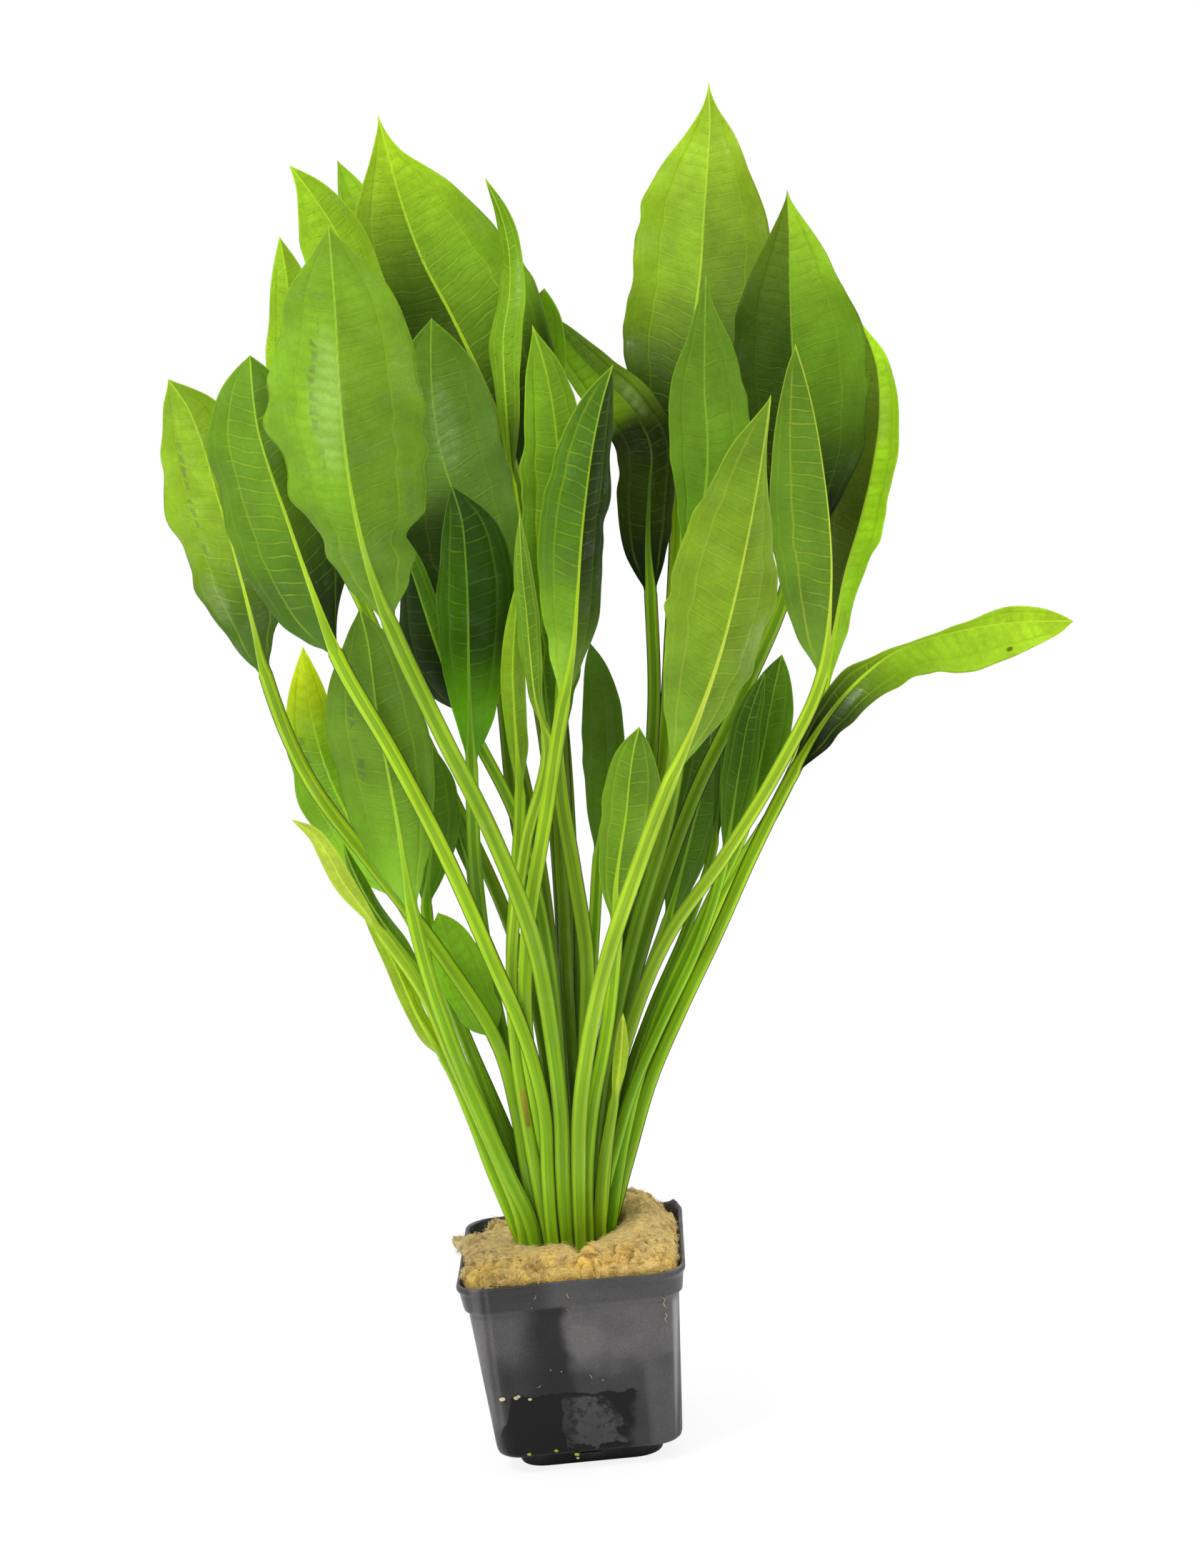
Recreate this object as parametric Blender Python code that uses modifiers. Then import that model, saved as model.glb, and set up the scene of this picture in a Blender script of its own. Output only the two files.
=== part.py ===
"""An amazon sword plant standing in its square pot of rock wool.

Units are metres in Blender and millimetres in the named sizes below. +Z is up, the front is -Y,
and the origin is the middle of the pot's foot, on the surface that it stands on.

Each leaf is read from the front view: its midrib is a list of points (u, v) in the 1680 x 2196
pixels of that view, and its depth is a real distance from front (-Y) to back (+Y). `to_space`
places such a point in the room. The leaves stand in rows on the crown, front row first, and a
leaf that crosses others is set back until it clears them.
"""
import math
from collections import namedtuple

import bmesh
import bpy
import numpy as np

MM = 0.001
GAP = 0.3                       # between two pieces that touch

# Pot: a square pot of 80 x 80 x 72.5 mm with a rim band and a low foot.
POT_WIDTH = 80.0
POT_HEIGHT = 72.5
POT_WALL = 1.1
POT_CORNER = 9.0
RIM_BAND = 10.0                 # height of the band under the rim
BAND_WIDTH = 77.0               # outer width at the bottom of the band
BODY_TOP_WIDTH = 74.4
BODY_BOTTOM_WIDTH = 66.0
FOOT_WIDTH = 50.0
FOOT_HEIGHT = 4.6
CORNER_STEPS = 3                # facets in a quarter of a pot corner
DRAIN_WIDTH, DRAIN_HEIGHT = 7.5, 2.2

# Rock wool: fills the pot, stands above the rim and is highest at the back right.
WOOL_BOTTOM = 1.6
WOOL_RIM = 74.5                 # height of its top edge, beside the rim
WOOL_SHOULDER = 79.5            # height round the crown
WOOL_RISE = 4.5                 # extra height at the back right
WOOL_DIP = 2.5                  # lower by this at the back left
POCKET_RADIUS = (23.5, 21.0)
POCKET_FLOOR = 58.0

# Crown: the short rhizome in the pocket.
CROWN_TOP = 68.0
CROWN_RADIUS = (19.5, 18.5)
CROWN_TAPER = 0.72

# The front view: where it is seen from, in millimetres and degrees, and its scale in pixels.
VIEW_PLACE = np.array((54.7, -1034.3, 417.2))
VIEW_TURN, VIEW_DIP, VIEW_ROLL = math.radians(-1.5), math.radians(9.79), math.radians(-6.08)
VIEW_FOCAL = 4200.0
PIXELS_PER_MM = 4.05            # at the stalks
VIEW_MIDDLE = (840.0, 1098.0)
WOOL_ROW = 1745.0               # where the stalks meet the wool

# Stalks: combed level by level from the neck of the rosette down to their roots on the crown.
ROOT_HEIGHT = CROWN_TOP + 1.6
NECK_HEIGHT = 150.0
RING_LEVELS = (NECK_HEIGHT, 127.0, 105.0, 86.0, ROOT_HEIGHT)
COMB_STEPS = 7                  # steps between two of those levels
ROOT_DEPTHS = (-12.0, 12.0)     # of the first and the last leaf
ROOT_SQUEEZE = 0.9              # share of the seen spread of the stalks that their roots keep
ROOT_HALF_WIDTH = 2.1           # of a stalk on the crown

# Blades and stalks.
ARCH = 1.2                      # how strongly a leaf bends outwards as it rises
DRAWN_OUT = 0.05                # how long the drawn-out point of a blade is
TURN = 0.5                      # slope in depth across a blade that is far out at one side
TURN_REACH = 60.0               # how far out and how far to the front or back that is, in mm
BLADE_HALF_THICKNESS = 0.5
MIDRIB_HALF_THICKNESS = 0.8
STALK_FLATNESS = 0.72           # thickness of a stalk over its width
BLADE_CLEARANCE, STALK_CLEARANCE = 1.6, 0.3
ACROSS = (-1.0, -0.5, 0.0, 0.5, 1.0)

# A leaf. Blade and stalk are midrib points from the tip down; root is where it meets the wool, in
# pixels across. Halves are the half widths seen left and right of the midrib, in pixels; fold is
# how far those edges lie behind the midrib, in mm. Tip is the tip's depth and stalk_px the stalk's
# width. Widest is how far down the blade it is widest, and slim how pointed its outline is.
Leaf = namedtuple("Leaf", "name tip blade stalk root halves widest slim fold stalk_px")

LEAVES = (
    Leaf("leaf_front_broad", -125,
         ((460, 315), (469, 429), (476, 558), (495, 708), (526, 824), (547, 876)),
         ((600, 989), (656, 1106), (722, 1239), (764, 1397), (785, 1600)),
         789, (100, 117), 0.44, 1.5, (5, 5), 26),
    Leaf("leaf_front_right", -108,
         ((1079, 553), (1064, 658), (1041, 781), (1009, 914), (964, 1037), (940, 1090)),
         ((905, 1183), (861, 1306), (830, 1425), (812, 1566)),
         809, (92, 56), 0.5, 1.6, (5, 4), 24),
    Leaf("leaf_left_broad", -92,
         ((350, 497), (354, 550), (365, 620), (389, 690), (435, 824), (470, 915)),
         ((529, 1015), (585, 1127), (642, 1232), (697, 1366), (747, 1495)),
         774, (84, 75), 0.5, 0.75, (4, 5), 24),
    Leaf("leaf_lower_left", -58,
         ((503, 850), (512, 885), (529, 1008), (550, 1117), (570, 1236), (578, 1281)),
         ((603, 1376), (638, 1474), (680, 1587)),
         752, (75, 66), 0.45, 1.4, (4, 5), 22),
    Leaf("leaf_front_centre", -82,
         ((858, 510), (841, 569), (818, 713), (807, 853), (800, 930), (789, 985)),
         ((768, 1124), (747, 1236), (735, 1400), (748, 1550)),
         781, (60, 34), 0.5, 1.2, (4, 6), 22),
    Leaf("leaf_edge_on", -52,
         ((728, 720), (730, 783), (737, 853), (747, 955), (756, 1008), (765, 1032)),
         ((748, 1120), (727, 1235), (716, 1400), (735, 1540)),
         768, (15, 17), 0.5, 1.3, (7, -7), 18),
    Leaf("leaf_far_left", -62,
         ((235, 530), (253, 554), (305, 697), (351, 862), (372, 945)),
         ((386, 1001), (445, 1110), (522, 1211), (596, 1306), (697, 1464)),
         763, (74, 62), 0.45, 1.2, (6, 2), 22),
    Leaf("leaf_low_yellow", -40,
         ((408, 1148), (436, 1165), (480, 1235), (536, 1309)),
         ((592, 1390), (635, 1490)),
         738, (14, 14), 0.45, 1.3, (3, -2), 17),
    Leaf("leaf_small_blunt", -12,
         ((613, 1278), (628, 1320), (665, 1410), (690, 1450)),
         ((722, 1540), (745, 1610)),
         775, (30, 38), 0.45, 0.9, (3, 3), 20),
    Leaf("leaf_low_narrow", -24,
         ((510, 1285), (541, 1330), (593, 1440), (637, 1505)),
         ((668, 1590),),
         733, (14, 14), 0.45, 1.2, (3, 2), 18),
    Leaf("leaf_small_right", -46,
         ((895, 1017), (891, 1032), (874, 1159), (862, 1243), (863, 1300)),
         ((860, 1348), (844, 1478), (826, 1583)),
         822, (35, 46), 0.4, 1.2, (3, 3), 20),
    Leaf("leaf_shoot_right", -20,
         ((872, 1418), (868, 1500), (858, 1570)),
         ((850, 1620),),
         842, (11, 11), 0.5, 1.2, (1, 1), 14),
    Leaf("leaf_ruffled", -52,
         ((745, 455), (760, 503), (777, 590), (783, 700), (785, 850), (783, 1090)),
         ((803, 1218), (822, 1350), (818, 1500)),
         804, (54, 45), 0.4, 1.4, (4, 4), 24),
    Leaf("leaf_pale", -38,
         ((728, 800), (718, 930), (726, 1080), (728, 1115)),
         ((722, 1229), (716, 1330), (730, 1480)),
         768, (17, 20), 0.5, 1.3, (2, 6), 18),
    Leaf("leaf_dark_left", -28,
         ((632, 679), (644, 717), (653, 801), (656, 930), (660, 1075)),
         ((667, 1229), (690, 1390), (720, 1520)),
         765, (43, 67), 0.4, 1.3, (4, 4), 20),
    Leaf("leaf_shoot_left", -10,
         ((747, 1580), (757, 1630), (765, 1655)),
         ((771, 1671),),
         780, (9, 9), 0.5, 1.2, (1, 1), 12),
    Leaf("leaf_slender", -24,
         ((540, 720), (567, 776), (609, 899), (650, 1000)),
         ((702, 1095), (745, 1220), (775, 1400)),
         792, (20, 22), 0.5, 1.3, (3, 3), 18),
    Leaf("leaf_folded_right", -12,
         ((1113, 482), (1132, 546), (1155, 675), (1165, 798), (1158, 903), (1150, 949)),
         ((1110, 1037), (1043, 1156), (976, 1254), (920, 1338), (872, 1480)),
         842, (82, 12), 0.56, 1.1, (2, 16), 20),
    Leaf("leaf_folded_left", -16,
         ((480, 1180), (500, 1232), (535, 1290), (598, 1375)),
         ((650, 1500),),
         745, (12, 14), 0.5, 1.3, (2, 8), 16),
    Leaf("leaf_yellowing", -10,
         ((424, 905), (440, 1020), (458, 1080), (520, 1200), (560, 1262)),
         ((612, 1360), (668, 1500)),
         752, (52, 45), 0.58, 1.2, (4, 4), 18),
    Leaf("leaf_lower_inner", 0,
         ((600, 1040), (605, 1180), (597, 1270)),
         ((617, 1359), (672, 1500)),
         765, (28, 30), 0.4, 1.2, (3, 3), 18),
    Leaf("leaf_lower_narrow", 8,
         ((630, 1110), (640, 1160), (660, 1230)),
         ((668, 1300), (705, 1460)),
         777, (10, 10), 0.5, 1.2, (1, 2), 14),
    Leaf("leaf_upper_outer", -5,
         ((391, 330), (400, 380), (415, 550), (450, 740), (490, 810)),
         ((530, 900), (620, 1090), (700, 1260), (755, 1430)),
         787, (40, 48), 0.45, 1.2, (4, 4), 20),
    Leaf("leaf_rounded", 16,
         ((604, 445), (604, 540), (618, 636), (655, 750), (700, 950)),
         ((722, 1148), (750, 1300), (775, 1480)),
         795, (62, 86), 0.35, 1.0, (-3, -3), 20),
    Leaf("leaf_right_inner", 14,
         ((1071, 942), (1050, 1000), (1035, 1080), (1015, 1200)),
         ((975, 1330), (905, 1480)),
         836, (25, 22), 0.45, 1.2, (-2, -4), 16),
    Leaf("leaf_right_behind", 20,
         ((1095, 916), (1085, 960), (1062, 1080), (1045, 1150)),
         ((1000, 1250), (920, 1430)),
         850, (35, 34), 0.45, 1.2, (-2, -2), 18),
    Leaf("leaf_pointed", 12,
         ((988, 385), (987, 450), (986, 537), (991, 645), (965, 830)),
         ((958, 1000), (945, 1100), (893, 1290), (850, 1480)),
         822, (54, 60), 0.44, 1.8, (-3, 6), 20),
    Leaf("leaf_upper_middle", 22,
         ((405, 231), (430, 264), (462, 309), (505, 420), (550, 560), (600, 700)),
         ((650, 830), (710, 1000), (755, 1200), (780, 1400)),
         800, (62, 42), 0.4, 1.0, (-2, -2), 18),
    Leaf("leaf_twisted", 36,
         ((679, 249), (705, 310), (715, 380), (704, 490), (710, 580), (716, 680)),
         ((740, 800), (765, 950), (785, 1200), (795, 1420)),
         806, (17, 24), 0.5, 1.2, (8, -6), 18),
    Leaf("leaf_sideways", 40,
         ((1503, 870), (1436, 871), (1331, 887), (1243, 919), (1176, 982), (1112, 1080)),
         ((1068, 1165), (1012, 1290), (938, 1450)),
         846, (30, 44), 0.38, 0.6, (-2, -4), 20),
    Leaf("leaf_upper_right", 54,
         ((1102, 265), (1105, 320), (1107, 434), (1112, 520), (1118, 620), (1117, 720),
         (1103, 815)),
         ((1070, 910), (1004, 1040), (934, 1216), (880, 1400)),
         830, (88, 105), 0.48, 2.2, (-4, -4), 22),
    Leaf("leaf_dark_narrow", 38,
         ((1012, 980), (1010, 1080), (1000, 1180)),
         ((965, 1290), (895, 1460)),
         838, (10, 11), 0.5, 1.2, (1, -2), 14),
    Leaf("leaf_upper_left", 62,
         ((529, 161), (551, 246), (584, 348), (627, 432), (665, 510), (705, 610), (728, 690)),
         ((745, 770), (770, 880), (787, 1100), (792, 1300)),
         797, (124, 126), 0.55, 2.1, (-4, -4), 27),
    Leaf("leaf_upper_centre", 60,
         ((762, 403), (757, 450), (752, 540), (755, 700)),
         ((770, 850), (790, 1050), (803, 1300)),
         806, (35, 40), 0.42, 0.9, (-3, -3), 20),
    Leaf("leaf_upper_inner", 80,
         ((472, 224), (490, 267), (530, 370), (580, 500), (640, 640)),
         ((690, 760), (735, 900), (770, 1100), (788, 1350)),
         790, (36, 42), 0.45, 1.2, (-3, -3), 18),
    Leaf("leaf_arching", 74,
         ((765, 440), (800, 485), (846, 535), (890, 580), (912, 630), (909, 690), (907, 760),
          (911, 833)),
         ((916, 950), (905, 1130), (870, 1330), (840, 1500)),
         818, (48, 38), 0.55, 0.7, (-4, 4), 20),
    Leaf("leaf_tallest", 100,
         ((992, 115), (994, 186), (988, 262), (981, 377), (968, 480), (955, 600), (950, 700)),
         ((945, 800), (930, 1050), (895, 1250), (850, 1470)),
         826, (96, 97), 0.52, 1.9, (-4, -4), 24),
    Leaf("leaf_far_right", 102,
         ((1206, 452), (1225, 500), (1232, 560), (1215, 690), (1185, 800), (1150, 975)),
         ((1089, 1125), (1018, 1237), (950, 1400)),
         842, (60, 31), 0.4, 1.2, (-3, -2), 20),
    Leaf("leaf_dark_back", 90,
         ((826, 900), (842, 955), (850, 1080), (838, 1200)),
         ((832, 1300), (822, 1450)),
         812, (35, 24), 0.45, 1.1, (-3, -3), 18),
    Leaf("leaf_dark_right", 108,
         ((1005, 960), (985, 1100), (965, 1180), (935, 1290)),
         ((905, 1370), (860, 1500)),
         828, (35, 34), 0.5, 1.1, (-3, -3), 18),
)

COLOURS = {                     # base colour, roughness, metallic
    "pot": ((0.012, 0.013, 0.016), 0.38, 0.0),
    "rock_wool": ((0.50, 0.37, 0.17), 0.95, 0.0),
    "crown": ((0.20, 0.14, 0.05), 0.8, 0.0),
    "leaf_front": ((0.12, 0.34, 0.03), 0.35, 0.0),
    "leaf_back": ((0.04, 0.15, 0.02), 0.4, 0.0),
}


# ---- helpers ---------------------------------------------------------------------------------

def clear_scene():
    for obj in list(bpy.data.objects):
        bpy.data.objects.remove(obj, do_unlink=True)


def new_collection(name):
    collection = bpy.data.collections.new(name)
    bpy.context.scene.collection.children.link(collection)
    return collection


def finish_material(name, finish):
    colour, roughness, metallic = COLOURS[finish]
    material = bpy.data.materials.new(name)
    material.use_nodes = True
    shader = material.node_tree.nodes["Principled BSDF"]
    shader.inputs["Base Color"].default_value = (*colour, 1.0)
    shader.inputs["Roughness"].default_value = roughness
    shader.inputs["Metallic"].default_value = metallic
    material.diffuse_color = (*colour, 1.0)
    return material


def add_object(name, mesh, collection, finish=None):
    obj = bpy.data.objects.new(name, mesh)
    collection.objects.link(obj)
    if finish:
        mesh.materials.append(finish_material(name, finish))
    return obj


def loft(rings, open_end=False, start_tip=None):
    """A skin through rings of points, in mm. start_tip closes the first ring to a point."""
    bm = bmesh.new()
    loops = [[bm.verts.new(np.asarray(p) * MM) for p in ring] for ring in rings]
    count = len(loops[0])
    for upper, lower in zip(loops, loops[1:]):
        for k in range(count):
            n = (k + 1) % count
            bm.faces.new((upper[k], upper[n], lower[n], lower[k]))
    if start_tip is not None:
        tip = bm.verts.new(np.asarray(start_tip) * MM)
        for k in range(count):
            bm.faces.new((tip, loops[0][(k + 1) % count], loops[0][k]))
    elif not open_end:
        bm.faces.new(loops[0])
    bm.faces.new(loops[-1])
    bmesh.ops.triangulate(bm, faces=[f for f in bm.faces if len(f.verts) == 4])
    bmesh.ops.recalc_face_normals(bm, faces=bm.faces)
    mesh = bpy.data.meshes.new("loft")
    bm.to_mesh(mesh)
    bm.free()
    mesh.shade_smooth()
    return mesh


# ---- pot, rock wool and crown ----------------------------------------------------------------

def rounded_square(width, corner, height):
    """A ring of points round a square with rounded corners."""
    inner = width / 2 - corner
    ring = []
    for quarter in range(4):
        middle = math.radians(45 + 90 * quarter)
        cx = math.copysign(inner, math.cos(middle))
        cy = math.copysign(inner, math.sin(middle))
        for step in range(CORNER_STEPS + 1):
            angle = math.radians(90 * quarter + 90 * step / CORNER_STEPS)
            ring.append((cx + corner * math.cos(angle), cy + corner * math.sin(angle), height))
    return ring


def body_width(height):
    """Outer width of the pot's tapered body at a height."""
    top = POT_HEIGHT - RIM_BAND
    share = (height - FOOT_HEIGHT) / (top - FOOT_HEIGHT)
    return BODY_BOTTOM_WIDTH + (BODY_TOP_WIDTH - BODY_BOTTOM_WIDTH) * share


def build_pot(parts, cutters):
    band = POT_HEIGHT - RIM_BAND
    outside = (
        (POT_WIDTH, POT_CORNER, POT_HEIGHT),
        (POT_WIDTH + 0.6, POT_CORNER, POT_HEIGHT - 1.2),
        (BAND_WIDTH + 2.0, POT_CORNER, POT_HEIGHT - 3.0),
        (BAND_WIDTH, POT_CORNER, band + 1.0),
        (BAND_WIDTH - 1.2, POT_CORNER, band),
        (BODY_TOP_WIDTH, POT_CORNER, band - 0.4),
        (BODY_BOTTOM_WIDTH + 0.6, POT_CORNER, FOOT_HEIGHT + 2.4),
        (BODY_BOTTOM_WIDTH - 2.0, POT_CORNER, FOOT_HEIGHT),
        (FOOT_WIDTH + 1.0, POT_CORNER, FOOT_HEIGHT),
        (FOOT_WIDTH, POT_CORNER, 0.8),
        (FOOT_WIDTH - 2.0, POT_CORNER - 1.0, 0.0),
    )
    mesh = loft([rounded_square(*ring) for ring in outside], open_end=True)
    pot = add_object("pot", mesh, parts, "pot")
    wall = pot.modifiers.new("wall", "SOLIDIFY")
    wall.thickness = POT_WALL * MM
    wall.offset = -1.0
    wall.use_even_offset = True
    for name, size in (("drain_front_back", (DRAIN_WIDTH, POT_WIDTH)),
                       ("drain_sides", (POT_WIDTH, DRAIN_WIDTH))):
        slot = bmesh.new()
        bmesh.ops.create_cube(slot, size=1.0)
        for vert in slot.verts:
            vert.co.x *= size[0] * MM
            vert.co.y *= size[1] * MM
            vert.co.z = (vert.co.z + 0.5) * DRAIN_HEIGHT * MM + 1.7 * MM
        cutter_mesh = bpy.data.meshes.new(name)
        slot.to_mesh(cutter_mesh)
        slot.free()
        cutter = add_object(name, cutter_mesh, cutters)
        cutter.hide_render = True
        cutter.display_type = "WIRE"
        cut = pot.modifiers.new(name, "BOOLEAN")
        cut.object = cutter
        cut.operation = "DIFFERENCE"
        cut.solver = "EXACT"
    return pot


def lumps(angle, reach):
    """Unevenness of the wool's top, in mm, at an angle and a share of the way out."""
    return (1.1 * math.sin(3 * angle + 0.6) * reach + 0.8 * math.sin(7 * angle + 5 * reach)
            + 0.5 * math.sin(11 * angle + 2.0))


def wool_height(angle, reach):
    """Height of the wool's top from the pocket (reach 0) to the rim (reach 1)."""
    back_right = max(0.0, math.cos(angle - math.radians(50)))
    back_left = max(0.0, math.cos(angle - math.radians(135)))
    shoulder = WOOL_SHOULDER + WOOL_RISE * back_right ** 1.5 - WOOL_DIP * back_left ** 2
    fall = (shoulder - WOOL_RIM) * reach ** 2.2
    return shoulder - fall + 1.5 * math.sin(math.pi * reach) + 0.7 * lumps(angle, reach)


def square_radius(angle, width, corner):
    """Distance from the middle to a rounded square's edge at an angle."""
    blend = 2.0 + 10.0 * (1.0 - corner / (width / 2))
    c, s = abs(math.cos(angle)), abs(math.sin(angle))
    return (width / 2) / (c ** blend + s ** blend) ** (1 / blend)


def build_wool(parts):
    sides = 30
    angles = [2 * math.pi * k / sides for k in range(sides)]

    def ring(radius, height):
        return [(radius(a) * math.cos(a), radius(a) * math.sin(a), height(a)) for a in angles]

    def inside(width):
        room = width - 2 * (POT_WALL + GAP) - 1.0
        return lambda a: square_radius(a, room, POT_CORNER + 3)

    def pocket(share):
        return lambda a: share * math.hypot(POCKET_RADIUS[0] * math.cos(a),
                                            POCKET_RADIUS[1] * math.sin(a))

    def between(share):
        edge = inside(BAND_WIDTH + 1.5)
        return lambda a: pocket(1.0)(a) + (edge(a) - pocket(1.0)(a)) * share

    tuft = math.radians(176)

    def tufted(a):
        return math.exp(-((a - tuft) / 0.16) ** 2)

    top = POT_HEIGHT - RIM_BAND
    body = [ring(inside(body_width(h)), lambda a, h=h: h) for h in (top - 2.0, 34.0, 8.0)]
    rings = [ring(pocket(0.75), lambda a: POCKET_FLOOR),
             ring(pocket(0.97), lambda a: POCKET_FLOOR + 4.0),
             ring(pocket(0.97), lambda a: WOOL_SHOULDER - 3.5),
             ring(pocket(1.12), lambda a: wool_height(a, 0.0)),
             ring(between(0.4), lambda a: wool_height(a, 0.4)),
             ring(between(0.75), lambda a: wool_height(a, 0.75)),
             ring(lambda a: inside(BAND_WIDTH + 1.5)(a) + 5.5 * tufted(a),
                  lambda a: wool_height(a, 1.0) + 0.9 * tufted(a)),
             ring(inside(BAND_WIDTH + 1.5), lambda a: POT_HEIGHT + 0.5),
             ring(inside(BAND_WIDTH), lambda a: POT_HEIGHT - 3.5)]
    rings += body
    rings.append(ring(inside(FOOT_WIDTH - 3.0), lambda a: FOOT_HEIGHT + POT_WALL + GAP))
    rings.append(ring(inside(FOOT_WIDTH - 5.0), lambda a: WOOL_BOTTOM))
    return add_object("rock_wool", loft(rings), parts, "rock_wool")


def build_crown(parts):
    bm = bmesh.new()
    depth = CROWN_TOP - POCKET_FLOOR - GAP
    bmesh.ops.create_cone(bm, cap_ends=True, segments=24, radius1=CROWN_TAPER, radius2=1.0,
                          depth=depth)
    for vert in bm.verts:
        vert.co.x *= CROWN_RADIUS[0] * MM
        vert.co.y *= CROWN_RADIUS[1] * MM
        vert.co.z = (vert.co.z + CROWN_TOP - depth / 2) * MM
    mesh = bpy.data.meshes.new("crown")
    bm.to_mesh(mesh)
    bm.free()
    return add_object("crown", mesh, parts, "crown")


# ---- from the front view to the room -----------------------------------------------------------

VIEW_AHEAD = np.array((math.sin(VIEW_TURN) * math.cos(VIEW_DIP),
                       math.cos(VIEW_TURN) * math.cos(VIEW_DIP), -math.sin(VIEW_DIP)))
LEVEL_RIGHT = np.array((math.cos(VIEW_TURN), -math.sin(VIEW_TURN), 0.0))
LEVEL_UP = np.cross(LEVEL_RIGHT, VIEW_AHEAD)
VIEW_RIGHT = math.cos(VIEW_ROLL) * LEVEL_RIGHT + math.sin(VIEW_ROLL) * LEVEL_UP
VIEW_UP = math.cos(VIEW_ROLL) * LEVEL_UP - math.sin(VIEW_ROLL) * LEVEL_RIGHT


def to_space(u, v, depth):
    """The point seen at pixel (u, v) that lies at a depth, in mm. Takes arrays too."""
    across = (np.asarray(u, float) - VIEW_MIDDLE[0]) / VIEW_FOCAL
    down = (np.asarray(v, float) - VIEW_MIDDLE[1]) / VIEW_FOCAL
    ray = (VIEW_AHEAD + across[..., None] * VIEW_RIGHT - down[..., None] * VIEW_UP)
    reach = (np.asarray(depth, float) - VIEW_PLACE[1]) / ray[..., 1]
    return VIEW_PLACE + reach[..., None] * ray


def to_view(point):
    """The pixel (u, v) where a point in mm is seen."""
    offset = np.asarray(point, float) - VIEW_PLACE
    away = offset @ VIEW_AHEAD
    return (VIEW_MIDDLE[0] + VIEW_FOCAL * (offset @ VIEW_RIGHT) / away,
            VIEW_MIDDLE[1] - VIEW_FOCAL * (offset @ VIEW_UP) / away)


def smooth_path(points, samples=200):
    """Evenly spaced points on a smooth curve through the given ones, and each one's place on it."""
    points = np.asarray(points, float)
    knots = np.concatenate(([0.0], np.cumsum(np.linalg.norm(np.diff(points, axis=0), axis=1))))
    slopes = np.gradient(points, knots, axis=0)
    dense = np.linspace(0.0, knots[-1], samples)
    k = np.clip(np.searchsorted(knots, dense, side="right") - 1, 0, len(points) - 2)
    step = (knots[k + 1] - knots[k])[:, None]
    t = ((dense - knots[k]) / step[:, 0])[:, None]
    curve = ((2 * t ** 3 - 3 * t ** 2 + 1) * points[k] + (t ** 3 - 2 * t ** 2 + t) * step * slopes[k]
             + (3 * t ** 2 - 2 * t ** 3) * points[k + 1] + (t ** 3 - t ** 2) * step * slopes[k + 1])
    return dense, curve, knots


# ---- leaves ------------------------------------------------------------------------------------

def drawn_out(share):
    """Narrows the two ends of a blade to a drawn-out point."""
    return share / (share + DRAWN_OUT)


def outline(share, widest, slim):
    """Half width of a blade, from 0 at the tip to 1 where it is widest and 0 at its base."""
    share = np.clip(share, 0.0, 1.0)
    rise = (share / widest) ** (widest * slim) * drawn_out(share) / drawn_out(widest)
    rest = 1.0 - share
    fall = (rest / (1.0 - widest)) ** ((1.0 - widest) * slim)
    return rise * fall * drawn_out(rest) / drawn_out(1.0 - widest)


def stalk_half(leaf, place, blade_end, total):
    """Half width of a stalk and of the rib that goes on into the blade, in pixels."""
    wide = leaf.stalk_px / 2
    narrow = ROOT_HALF_WIDTH * PIXELS_PER_MM
    stalk = np.interp(place, (blade_end, 0.6 * total + 0.4 * blade_end, total),
                      (wide, wide, narrow))
    return np.where(place < blade_end, wide * np.clip(place / blade_end, 0.0, 1.0), stalk)


def read_leaf(leaf, number):
    """The line of a leaf from tip to wool: seen places, depths and widths at many places."""
    path = leaf.blade + leaf.stalk + ((leaf.root, WOOL_ROW),)
    place, curve, knots = smooth_path(path)
    blade_end, total = knots[len(leaf.blade) - 1], knots[-1]
    root_depth = np.interp(number, (0, len(LEAVES) - 1), ROOT_DEPTHS)
    depth = root_depth + (leaf.tip - root_depth) * (1.0 - place / total) ** ARCH
    # blades face the middle of the rosette: their outer edges lean away from its front and back
    tip_across = np.clip(to_space(*leaf.blade[0], leaf.tip)[0] / TURN_REACH, -1.0, 1.0)
    turn = TURN * tip_across * np.clip(-leaf.tip / TURN_REACH, -1.0, 1.0)
    return {"leaf": leaf, "place": place, "uv": curve, "depth": depth, "turn": turn,
            "blade_end": blade_end, "total": total}


def stations_above(line):
    """Places of the stations from the tip to the neck, or of the whole leaf if it is lower."""
    leaf, place, blade_end = line["leaf"], line["place"], line["blade_end"]
    height = to_space(line["uv"][:, 0], line["uv"][:, 1], line["depth"])[:, 2]
    low = np.nonzero(height < NECK_HEIGHT)[0][0]
    neck = place[low]
    blade_count = 4 + round(blade_end / 165)
    places = blade_end * (np.arange(blade_count) / blade_count) ** 1.15
    if neck > blade_end:
        stalk_count = 1 + round((neck - blade_end) / 220)
        places = np.concatenate((places, np.linspace(blade_end, neck, stalk_count + 1)[:-1]))
    return places[(places < neck - 12.0) | (places == 0.0)]


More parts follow.
